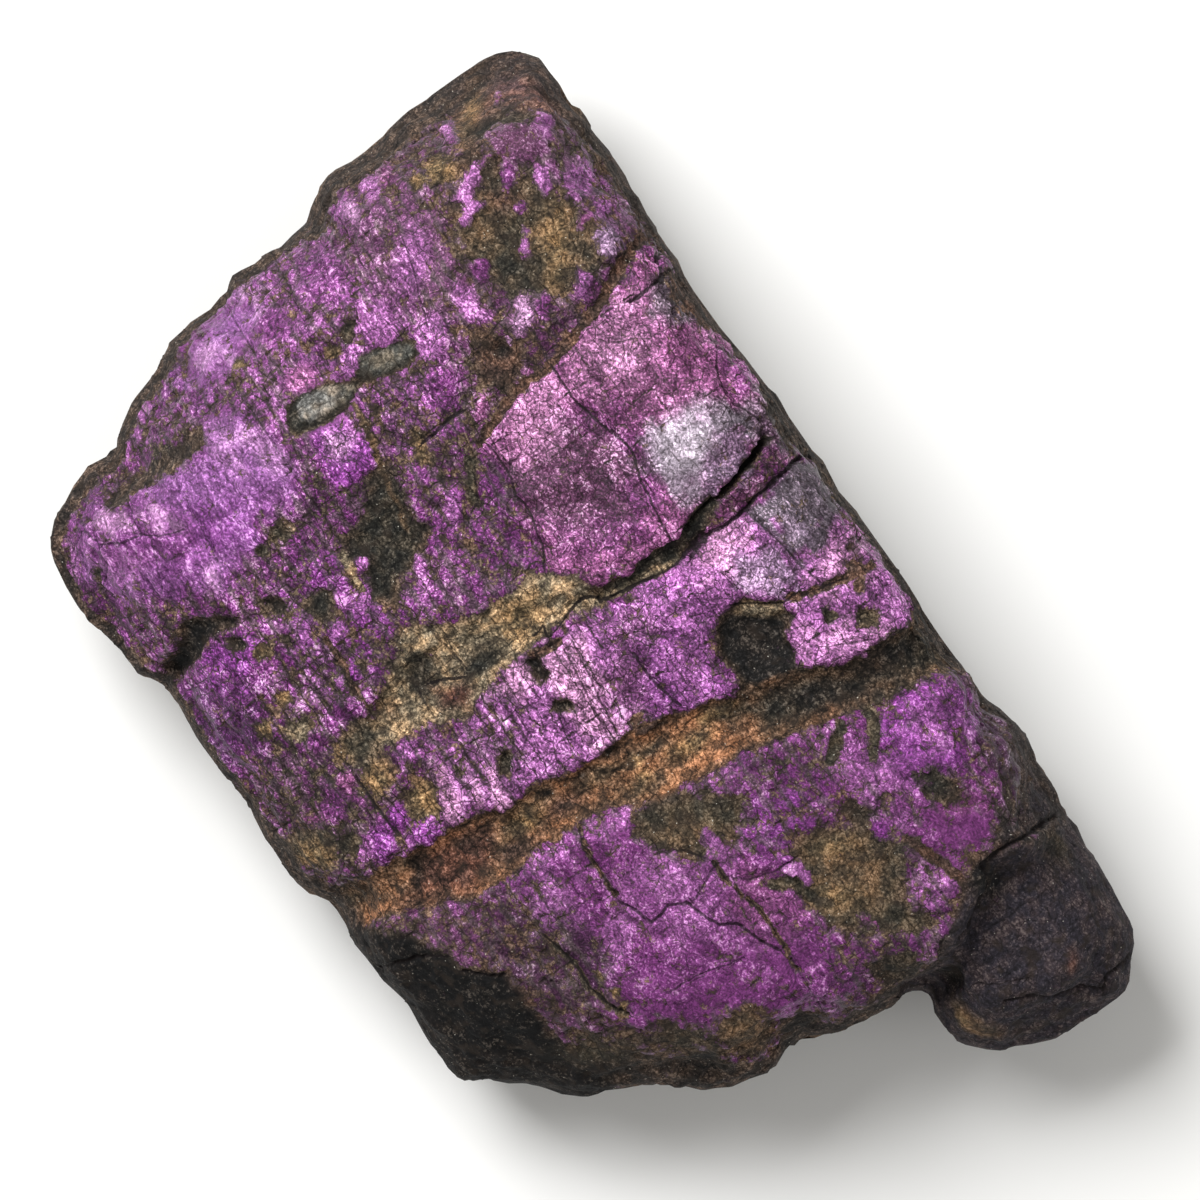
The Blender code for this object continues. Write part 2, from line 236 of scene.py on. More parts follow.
whole = bmesh.new()
whole.from_mesh(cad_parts[STONE].data)
bmesh.ops.remove_doubles(whole, verts=whole.verts, dist=MERGE_DISTANCE)
merged = bpy.data.meshes.new("merged solid")
whole.to_mesh(merged)
whole.free()
stone = bpy.data.objects.new("fine stone", merged)
bpy.context.scene.collection.objects.link(stone)

remesh = stone.modifiers.new("even facets", "REMESH")
remesh.mode, remesh.voxel_size = "VOXEL", FINE_FACET
smooth = stone.modifiers.new("smooth", "SMOOTH")
smooth.factor, smooth.iterations = SMOOTHING, SMOOTHING_ROUNDS
dense = plain_mesh(stone)
stone.modifiers.clear()
stone.data = dense
print("even facets:", triangles_in(dense), "triangles")

# %% Thin the walls and the underside
MOST_TRIANGLES = 190000
THINNED_BELOW = 0.0015
STEEP_TO_LEVEL, WEIGHT_STEPS = (0.05, 0.35), 10

points, normals = shape_of(dense)
high_enough = points[:, 2] > WIDEST_LEVEL - THINNED_BELOW
face_up = smooth_step(normals[:, 2], *STEEP_TO_LEVEL) * high_enough
can_thin = stone.vertex_groups.new(name="can be thinned")
for level in range(WEIGHT_STEPS + 1):
    chosen = np.flatnonzero(np.round((1 - face_up) * WEIGHT_STEPS) == level)
    can_thin.add(chosen.tolist(), level / WEIGHT_STEPS, "REPLACE")
thin = stone.modifiers.new("thin", "DECIMATE")
thin.vertex_group = can_thin.name
thin.ratio = MOST_TRIANGLES / triangles_in(dense)
fine = plain_mesh(stone)
stone.modifiers.clear()
stone.data = fine
stone.vertex_groups.clear()
points = three_numbers(fine.vertices, "co")
points[:, 2] = np.maximum(points[:, 2], 0)
fine.vertices.foreach_set("co", points.ravel())
fine.update()
print("kept whole:", int((face_up > 0.95).sum()), "of", len(face_up), "points")
print("fine stone:", triangles_in(fine), "triangles,", len(fine.vertices), "points")

# %% [markdown]
# ## Painting by place
# Each point of the mesh is looked up in the picture, through the camera. A traced shape is
# either an outline, which is a list of three or more places, or an oval, which is five
# numbers: its place, its two half widths and its turn in degrees. A slow waver is added to
# the places first, because traced outlines are smoother than broken rock. Colours of the
# satin are looked up in whole cleavage blocks that are shifted at random, so a zone ends in
# square steps as cleavage does. Only points that face up and lie above the foot count as the
# purple face.

# %% Where each point lies in the picture
FACE_LEVELS, FACE_SLOPES = (0.002, 0.005), (-0.15, 0.10)
CLOSE_WAVER, LOOSE_WAVER, CRACK_WAVER = (2.6, 10.0, 0.5), (6.0, 30.0, 7.5), (1.2, 10.0, 0.5)
BLOCK_SIZE, BLOCK_WAVER, BLOCK_REACH, ROW_SHIFT = (27.0, 14.0), (0.35, 14.0, 5.1), 11.0, 0.37
BLOCK_SEED = 11
VEIN_TILT = (0.35, -0.2)

points, normals = shape_of(fine)


def in_picture(points):
    """Where the camera sees each point, in picture units."""
    away = points - np.array(camera.location)
    enlarged = CAMERA_DISTANCE / (UNIT * -away[:, 2])
    right = away @ np.array(PICTURE_RIGHT) * enlarged
    up = away @ np.array(PICTURE_UP) * enlarged
    return PICTURE_SIDE / 2 + np.stack([right, -up], axis=1)


def waver(places, reach, size, seed):
    """A smooth random shift of each place, up to the reach both ways."""
    spots = np.column_stack([places / size, np.full(len(places), seed)])
    return reach * np.array([noise.noise_vector(Vector(spot))[:2] for spot in spots])


def block_shift(places):
    """A random shift that is the same all over one cleavage block."""
    spots = turned(places) / BLOCK_SIZE + waver(places, *BLOCK_WAVER)
    spots[:, 0] += ROW_SHIFT * np.floor(spots[:, 1])
    blocks, which = np.unique(np.floor(spots), axis=0, return_inverse=True)
    shifts = [noise.random_vector() for block in blocks]
    return BLOCK_REACH * np.array([shift[:2] for shift in shifts])[which.ravel()]


noise.seed_set(BLOCK_SEED)
seen = in_picture(points)
below = np.clip(WIDEST_LEVEL - points[:, 2], 0, 1) / UNIT
below *= 1 - smooth_step(normals[:, 2], *FACE_SLOPES)
seen = seen + below[:, None] * np.array(VEIN_TILT)
close = seen + waver(seen, *CLOSE_WAVER)
loose = close + waver(seen, *LOOSE_WAVER)
facets = loose + block_shift(seen)
cracked = seen + waver(seen, *CRACK_WAVER)
on_face = smooth_step(points[:, 2], *FACE_LEVELS) * smooth_step(normals[:, 2], *FACE_SLOPES)
print("points on the purple face:", int(on_face.sum()))

# %% Distances to traced lines and shapes
FAR = 1e6


def line_gap(places, line, closed=False):
    """Distance from each place to a line of straight pieces, and which side of it it is on."""
    line = np.asarray(line, float)
    ends = np.roll(line, -1, axis=0) if closed else line[1:]
    gap, side = np.full(len(places), FAR), np.ones(len(places))
    for start, end in zip(line, ends):
        run, offset = end - start, places - start
        along = np.clip(offset @ run / (run @ run), 0, 1)
        new_gap = np.hypot(*(offset - along[:, None] * run).T)
        nearer = new_gap < gap
        gap[nearer] = new_gap[nearer]
        side[nearer] = np.sign(run[0] * offset[:, 1] - run[1] * offset[:, 0])[nearer]
    return gap, side


def inside(places, outline):
    """Whether each place is inside an outline, by counting the sides it looks past."""
    corners = np.asarray(outline, float)
    within = np.zeros(len(places), bool)
    for start, end in zip(corners, np.roll(corners, -1, axis=0)):
        spans = (start[1] > places[:, 1]) != (end[1] > places[:, 1])
        rise = (end[1] - start[1]) or 1
        cross = start[0] + (places[:, 1] - start[1]) * (end[0] - start[0]) / rise
        within ^= spans & (places[:, 0] < cross)
    return within


def depth_in(places, shape):
    """How far each place is inside a traced shape, in picture units: below 0 outside it."""
    if isinstance(shape, list):
        gap, _ = line_gap(places, shape, closed=True)
        return np.where(inside(places, shape), gap, -gap)
    right, down, half_long, half_wide, turn = shape
    offset = places - (right, down)
    cos, sin = math.cos(math.radians(turn)), math.sin(math.radians(turn))
    along = offset[:, 0] * cos + offset[:, 1] * sin
    across = offset[:, 1] * cos - offset[:, 0] * sin
    return (1 - np.hypot(along / half_long, across / half_wide)) * min(half_long, half_wide)


def near_to(places, shape, margin):
    """The numbers of the places that a traced shape or line can touch."""
    if isinstance(shape, list):
        low, high = np.min(shape, axis=0), np.max(shape, axis=0)
    else:
        right, down, half_long, half_wide, _ = shape
        size = max(half_long, half_wide)
        low, high = np.array([right - size, down - size]), np.array([right + size, down + size])
    return np.flatnonzero(((places > low - margin) & (places < high + margin)).all(axis=1))


def mask_of(places, shape, soft):
    """From 0 outside a traced shape to 1 inside it, with an edge so many units wide."""
    near = near_to(places, shape, soft)
    mask = np.zeros(len(places))
    mask[near] = smooth_step(depth_in(places[near], shape) / soft + 0.5)
    return mask


def layered(base, places, rows):
    """A number for each point: the base, then each row's level inside the row's shape."""
    values = np.full(len(places), base)
    for level, soft, shape in rows:
        values += (level - values) * mask_of(places, shape, soft)
    return values


# %% [markdown]
# ## Colours
# Two coats are painted on the points: the foil, which is what the satin purple mineral shows
# here, and the ground, which is the matrix, vein or crust that covers it in places. They are
# kept as two colours for each point, and the material mixes them with finer grain later.

# %% Named colours
FOIL_COLOURS = {
    "purple": (120, 57, 118), "violet": (84, 42, 90), "vivid": (142, 66, 150),
    "lilac": (166, 102, 164), "pale": (206, 156, 200), "rose": (150, 88, 132),
    "blush": (206, 148, 190), "mauve": (98, 62, 86), "plum": (62, 38, 58),
    "silver": (180, 168, 184), "slate": (92, 84, 92), "lavender": (144, 118, 146),
    # glare is a painted highlight.
    "iris": (150, 94, 158), "glare": (206, 200, 208),
}
GROUND_COLOURS = {
    "olive": (62, 56, 46), "soot": (28, 26, 25), "moss": (42, 40, 35), "umber": (78, 58, 50),
    "ochre": (116, 95, 68), "rust": (119, 84, 61), "brick": (84, 56, 47), "sand": (140, 122, 98),
    # facet is dark partly as painted shade, and soot also paints shadow in a few patches.
    "facet": (14, 13, 14), "slab": (50, 44, 50), "skin": (54, 46, 42), "ash": (88, 85, 78),
    "bone": (132, 127, 120), "earth": (90, 73, 56), "liver": (100, 72, 72),
}


def linear(colour):
    """A screen colour of 0 to 255 as linear light."""
    share = np.array(colour) / 255
    return np.where(share <= 0.04045, share / 12.92, ((share + 0.055) / 1.055) ** 2.4)


def brush(coat, colour, strength):
    """Lays a colour over a coat, in place, with a strength for each point."""
    coat += (linear(colour) - coat) * np.clip(strength, 0, 1)[:, None]


# %% [markdown]
# ## Zones of the foil
# The zones hold the satin's colours and also painted light: it is painted brightest where its
# cleavage faces the light, pink in the middle, silver on one bulge, lilac on the left, and darker
# where it turns away. Each zone is a colour, a strength, the width of its soft edge and its shape,
# painted one over the other.

# %% Zones of the foil
PINK_ZONE = [
    (655, 238), (640, 250), (603, 303), (582, 328), (562, 352), (547, 371), (522, 388), (508, 408),
    (492, 428), (484, 447), (497, 462), (510, 480), (520, 505), (535, 530), (545, 565), (590, 590),
    (640, 568), (690, 540), (715, 512), (750, 478), (770, 446), (800, 440), (770, 398), (745, 366),
    (715, 330), (690, 292), (672, 262),
]
RIGHT_ZONE = [
    (728, 520), (745, 512), (765, 525), (790, 555), (805, 565), (822, 550), (830, 520), (858, 520),
    (900, 575), (925, 610), (925, 622), (905, 636), (880, 650), (870, 664), (845, 672), (820, 676),
    (800, 670), (790, 650), (795, 625), (782, 606), (735, 606), (718, 625), (690, 590), (665, 580),
    (690, 552),
]
BELOW_VEIN = [
    (612, 600), (650, 578), (690, 590), (720, 622), (722, 690), (748, 700), (715, 700), (690, 712),
    (650, 722), (640, 716), (625, 680), (620, 650), (600, 622),
]
STRIPES = [
    (480, 700), (510, 665), (545, 640), (575, 612), (600, 620), (620, 650), (640, 715), (600, 755),
    (560, 775), (525, 790), (505, 815), (480, 810), (440, 820), (432, 770), (455, 745), (470, 715),
]
LEFT_ZONE = [
    (200, 420), (235, 410), (275, 440), (292, 480), (282, 498), (262, 525), (250, 560), (215, 590),
    (150, 600), (90, 580), (75, 530), (90, 500), (150, 480), (190, 450),
]
UPPER_LEFT_BULGE = [
    (205, 340), (225, 312), (252, 292), (262, 310), (245, 345), (225, 372), (200, 392), (186, 378),
]
GREY_FACET = [(801, 462), (840, 498), (822, 545), (800, 562), (750, 508)]
FOIL_ZONES = [
    ("lilac", 0.40, 50, [(200, 400), (220, 300), (320, 210), (420, 170), (460, 240), (430, 330),
        (450, 420), (360, 470), (280, 420)]),
    ("mauve", 0.30, 40, (420, 260, 50, 64, 20)),
    ("mauve", 0.62, 40, [(430, 80), (560, 75), (650, 225), (600, 300), (545, 365), (480, 430), (430, 330),
        (330, 240), (320, 190)]),
    ("lilac", 0.45, 24, (592, 185, 22, 44, -32)), ("rose", 0.80, 22, PINK_ZONE),
    ("mauve", 0.45, 30, (640, 388, 42, 26, 10)),
    ("purple", 0.75, 40, (590, 480, 70, 70, 20)), ("mauve", 0.85, 40, (575, 478, 62, 60, 20)),
    ("blush", 0.50, 40, (612, 350, 46, 30, -40)),
    ("blush", 0.45, 36, (532, 420, 26, 40, 30)), ("purple", 0.50, 16, (740, 378, 16, 14, 0)),
    ("slate", 0.90, 12, [(655, 282), (675, 270), (698, 290), (718, 322), (707, 336), (680, 330),
        (655, 312)]),
    ("plum", 0.40, 12, (686, 306, 18, 12, 50)), ("blush", 0.60, 16, (632, 300, 30, 9, -38)),
    ("lilac", 0.85, 26, RIGHT_ZONE),
    ("blush", 0.75, 22, (722, 545, 32, 20, -45)), ("blush", 0.60, 26, (845, 560, 26, 34, 30)),
    ("blush", 0.55, 26, (850, 640, 46, 16, 5)),
    ("lavender", 0.85, 18, [(738, 560), (762, 552), (792, 560), (800, 580), (785, 596), (748, 596),
        (738, 580)]),
    ("vivid", 0.60, 24, BELOW_VEIN), ("lilac", 0.45, 24, BELOW_VEIN),
    ("lilac", 0.80, 26, (665, 610, 34, 20, 20)),
    ("lilac", 0.50, 26, (695, 660, 24, 34, 20)), ("mauve", 0.60, 20, (628, 628, 30, 18, 10)),
    ("violet", 0.60, 12, [(633, 640), (650, 660), (672, 690), (680, 706), (668, 706), (650, 680),
        (632, 655)]),
    ("lilac", 0.90, 20, STRIPES),
    ("blush", 0.85, 22, [(552, 645), (575, 622), (590, 650), (600, 690), (615, 735), (590, 745),
        (560, 700), (545, 665)]),
    ("blush", 0.80, 14, (516, 676, 22, 17, 20)), ("mauve", 0.55, 18, (625, 680, 22, 30, 10)),
    ("blush", 0.50, 18, (620, 728, 18, 18, 0)),
    ("iris", 0.90, 34, LEFT_ZONE), ("pale", 0.36, 24, (262, 452, 24, 16, 40)),
    ("pale", 0.26, 24, (225, 440, 24, 16, 20)),
    ("vivid", 0.55, 30, (215, 535, 44, 24, -30)), ("purple", 0.40, 36, (150, 560, 70, 34, 20)),
    ("lilac", 0.80, 22, [(120, 425), (165, 412), (172, 425), (140, 446), (118, 452)]),
    ("purple", 0.60, 16, (135, 530, 60, 34, 0)),
    # Painted highlights: small lit facets in the left zone.
    ("pale", 0.50, 10, [(96, 520), (112, 506), (126, 516), (124, 536), (106, 540), (94, 532)]),
    ("pale", 0.45, 10, [(142, 514), (160, 508), (176, 518), (172, 530), (150, 530)]),
    ("lilac", 0.80, 18, (80, 568, 10, 22, 15)),
    ("lilac", 0.60, 18, (124, 566, 20, 17, 0)), ("purple", 0.60, 20, (98, 606, 16, 14, 0)),
    ("pale", 0.60, 18, (212, 578, 9, 12, 30)),
    ("iris", 0.95, 30, UPPER_LEFT_BULGE),
    # Painted highlight where the upper-left bulge slopes towards the light.
    ("pale", 0.50, 14, [(194, 366), (206, 350), (222, 346), (226, 358), (214, 374), (200, 378)]),
    ("pale", 0.70, 14, (256, 302, 6, 12, 30)),
    ("vivid", 0.85, 16, [(205, 645), (225, 636), (262, 642), (258, 672), (236, 690), (212, 684)]),
    ("violet", 0.70, 30, [(190, 672), (215, 690), (260, 690), (262, 735), (240, 765), (212, 745),
        (186, 700)]),
    ("lilac", 0.90, 8, [(303, 648), (313, 650), (318, 680), (324, 706), (312, 712), (303, 690)]),
    ("lilac", 0.90, 8, [(321, 655), (330, 652), (340, 680), (343, 704), (333, 708), (325, 685)]),
    ("vivid", 0.90, 10, (362, 664, 14, 17, 20)), ("vivid", 0.50, 40, (340, 620, 60, 70, 20)),
    ("mauve", 0.45, 50, [(270, 760), (340, 730), (400, 760), (410, 830), (360, 880), (300, 860)]),
    ("purple", 0.75, 40, [(370, 925), (480, 895), (560, 840), (680, 800), (820, 730), (950, 662),
        (1010, 730), (1020, 800), (980, 850), (950, 930), (890, 990), (800, 1030), (700, 1080),
        (600, 1070), (540, 1000), (460, 960)]),
    ("mauve", 0.60, 30, (395, 925, 34, 14, -15)), ("mauve", 0.70, 50, (490, 940, 80, 40, 20)),
    ("plum", 0.82, 40, (552, 962, 70, 52, 40)),
    ("lilac", 0.70, 24, (553, 888, 20, 40, -25)), ("lilac", 0.55, 18, (620, 822, 34, 12, -25)),
    ("lilac", 0.55, 18, (690, 788, 34, 10, -25)),
    ("lilac", 0.70, 30, (672, 878, 44, 20, 10)), ("lilac", 0.50, 40, (700, 925, 60, 18, 10)),
    ("purple", 0.50, 50, (740, 985, 70, 36, -20)),
    ("rose", 0.45, 30, (760, 905, 40, 30, 40)), ("lilac", 0.60, 14, (722, 855, 10, 22, -30)),
    ("lilac", 0.60, 14, (622, 925, 10, 34, 5)),
    ("vivid", 0.60, 30, (785, 820, 34, 40, 30)), ("vivid", 0.75, 30, (925, 730, 46, 50, 20)),
    ("lilac", 0.55, 26, (935, 725, 24, 26, 20)),
    ("lilac", 0.55, 30, (870, 775, 50, 26, 20)), ("lilac", 0.65, 20, (918, 895, 22, 40, 15)),
    ("purple", 0.60, 20, (955, 835, 34, 26, -30)),
    ("rose", 0.35, 20, (975, 805, 26, 12, 10)),
    ("plum", 0.90, 40, [(965, 660), (1010, 700), (1040, 740), (1060, 810), (1000, 850), (1000, 800),
        (975, 760), (970, 710)]),
    ("mauve", 0.50, 40, [(470, 985), (560, 980), (640, 1040), (620, 1080), (540, 1070)]),
    ("plum", 0.55, 40, [(860, 985), (940, 930), (960, 975), (900, 1000), (840, 1025)]),
    ("violet", 0.80, 14, (173, 375, 9, 22, 20)),
    # Painted shadow: the plum patches at the right end of the crest and the plum strip along the upper
    # crack stand for shade below the silver bulge's edge.
    ("plum", 0.80, 12, [(766, 436), (808, 436), (806, 456), (780, 452)]),
    ("rose", 0.80, 10, [(779, 446), (795, 452), (760, 486), (728, 510), (720, 500), (750, 470)]),
    ("plum", 0.70, 14, [(775, 440), (752, 472), (722, 500), (700, 522), (688, 514), (712, 486),
        (740, 458), (760, 436)]),
    ("mauve", 0.50, 8, [(744, 476), (772, 450), (786, 456), (752, 490), (730, 506)]),
    # The silver bulge: the satin's silvery grey with painted sheen, and a glare oval as a painted
    # highlight.
    ("silver", 0.72, 22, [(648, 432), (668, 416), (692, 404), (712, 400), (722, 412), (716, 432),
        (712, 456), (700, 478), (692, 496), (678, 500), (664, 486), (654, 466), (646, 448)]),
    ("glare", 0.38, 16, (687, 444, 20, 32, 20)), ("silver", 0.75, 14, (729, 424, 15, 17, 0)),
    ("silver", 0.60, 12, (724, 464, 12, 10, 0)),
    ("lavender", 0.80, 14, [(712, 440), (740, 432), (762, 442), (745, 470), (712, 500), (695, 505),
        (696, 480)]),
    ("slate", 0.80, 20, [(716, 402), (748, 396), (776, 404), (780, 430), (745, 440), (720, 430)]),
    # Painted shadow at the right end of the crest.
    ("plum", 0.80, 16, [(752, 418), (778, 412), (800, 440), (780, 448), (760, 440)]),
    ("slate", 0.95, 10, [(801, 462), (822, 465), (840, 498), (832, 516), (822, 545), (800, 562),
        (779, 544), (763, 523), (750, 508), (779, 483)]),
    ("lavender", 0.35, 16, (795, 535, 16, 14, 0)),
    ("silver", 0.70, 5, [(657, 247), (665, 250), (666, 259), (658, 257)]),
    ("slate", 0.70, 10, (565, 445, 10, 6, 10)), ("slate", 0.50, 12, (635, 460, 12, 18, 30)),
]

foil = np.tile(linear(FOIL_COLOURS["purple"]), (len(points), 1))
for colour, strength, soft, shape in FOIL_ZONES:
    brush(foil, FOIL_COLOURS[colour], strength * mask_of(facets, shape, soft))
print("foil zones:", len(FOIL_ZONES))

# %% [markdown]
# ## How much matrix there is
# Matrix grows in the seams between the cleavage blocks. Where there is little, it is only a
# web of thin lines; where there is much, the purple is left as separate lozenges. So one
# number is painted: the share of matrix, from 0 for none to 1 for nothing but matrix. Each
# row is a share, the width of its soft edge and its shape.

# %% The share of matrix
USUAL_SHARE = 0.24
SHARE_OF_MATRIX = [
    (0.27, 50, [(320, 180), (430, 90), (560, 60), (650, 220), (600, 300), (540, 370), (470, 440),
        (400, 400), (330, 330), (280, 290)]),
    (0.36, 30, [(430, 110), (490, 70), (560, 70), (600, 150), (560, 180), (480, 190), (440, 240)]),
    (0.20, 40, [(350, 180), (420, 190), (440, 260), (420, 330), (350, 340), (280, 290)]),
    (0.29, 40, [(330, 340), (420, 340), (470, 430), (470, 560), (400, 620), (340, 560), (300, 500)]),
    (0.38, 26, [(470, 330), (520, 330), (530, 380), (480, 440), (455, 400)]),
    (0.12, 26, [(310, 440), (345, 420), (374, 450), (365, 478), (335, 488)]), (0.03, 40, LEFT_ZONE),
    (0.05, 30, UPPER_LEFT_BULGE),
    (0.26, 40, [(260, 520), (330, 500), (350, 560), (320, 610), (260, 600)]),
    (0.32, 40, [(290, 600), (400, 600), (400, 700), (340, 740), (270, 720)]),
    (0.10, 24, [(195, 640), (262, 640), (275, 690), (262, 750), (232, 780), (202, 735), (186, 690)]),
    (0.34, 50, [(280, 700), (400, 730), (430, 790), (420, 840), (340, 890), (280, 850)]),
    (0.02, 26, PINK_ZONE), (0.00, 20, RIGHT_ZONE), (0.08, 20, BELOW_VEIN), (0.06, 18, STRIPES),
    (0.24, 30, [(475, 690), (500, 670), (520, 740), (520, 790), (480, 800), (440, 790)]),
    (0.26, 40, [(370, 925), (480, 890), (560, 960), (640, 1040), (640, 1080), (540, 1080)]),
    (0.10, 40, [(530, 850), (640, 820), (720, 800), (820, 900), (840, 1000), (700, 1050), (620, 1000)]),
    (0.26, 40, [(700, 790), (760, 750), (800, 800), (790, 850), (730, 850)]),
    (0.14, 40, [(820, 740), (950, 665), (1000, 730), (960, 800), (900, 800)]),
    (0.22, 40, [(990, 720), (1040, 780), (1030, 830), (970, 860), (960, 760)]),
    (0.10, 24, (955, 830, 36, 26, -30)),
    (0.02, 14, [(650, 430), (690, 404), (770, 404), (760, 470), (700, 500), (670, 490)]),
    (0.02, 10, GREY_FACET),
]

share = layered(USUAL_SHARE, facets, SHARE_OF_MATRIX)
print("mean share of matrix:", round(float(share.mean()), 2))

# %% [markdown]
# ## Veins, crusts and pits
# Some matrix stands in patches of its own: the rusty vein across the whole stone, the beige
# vein, ochre spots, black pits and the dark broken faces. A few dark patches are painted
# shadow instead, in the notch by the dark block and along the rusty vein's upper edge, and the
# lower-left broken face is darkened partly by painted shade. Each has a colour, how far it
# sinks below the foil in millimetres (below 0 it stands proud), its edge and its shape.

# %% Patches of ground
RUST_VEIN = [
    (300, 900), (326, 896), (377, 879), (394, 858), (417, 853), (443, 838), (479, 817), (513, 812),
    (542, 785), (577, 775), (601, 757), (632, 734), (657, 722), (689, 715), (710, 702), (743, 705),
    (753, 689), (794, 677), (824, 677), (845, 674), (873, 666), (881, 651), (906, 636), (921, 620),
    (950, 612), (985, 650), (952, 659), (932, 666), (881, 689), (845, 707), (812, 722), (779, 733),
    (743, 748), (700, 774), (657, 799), (606, 802), (578, 820), (555, 838), (525, 849), (513, 867),
    (502, 878), (480, 892), (438, 896), (415, 902), (389, 909), (364, 927), (340, 950),
]
BEIGE_VEIN = [
    (377, 732), (387, 693), (400, 653), (408, 636), (433, 627), (466, 625), (499, 604), (522, 584),
    (530, 574), (545, 574), (575, 579), (586, 589), (606, 594), (601, 604), (570, 612), (550, 625),
    (530, 645), (517, 655), (499, 670), (481, 693), (463, 714), (443, 721), (412, 724), (402, 734),
    (382, 739),
]
LOWER_LEFT_FACE = [
    (352, 922), (364, 930), (412, 937), (443, 955), (458, 968), (501, 975), (517, 993), (535, 1014),
    (550, 1034), (565, 1047), (588, 1052), (619, 1062), (600, 1130), (430, 1130), (320, 960),
]
DARK_BLOCK = [
    (1080, 812), (1047, 834), (1001, 857), (983, 858), (967, 894), (952, 927), (938, 960), (905, 978),
    (915, 1080), (1170, 1080), (1170, 812),
]
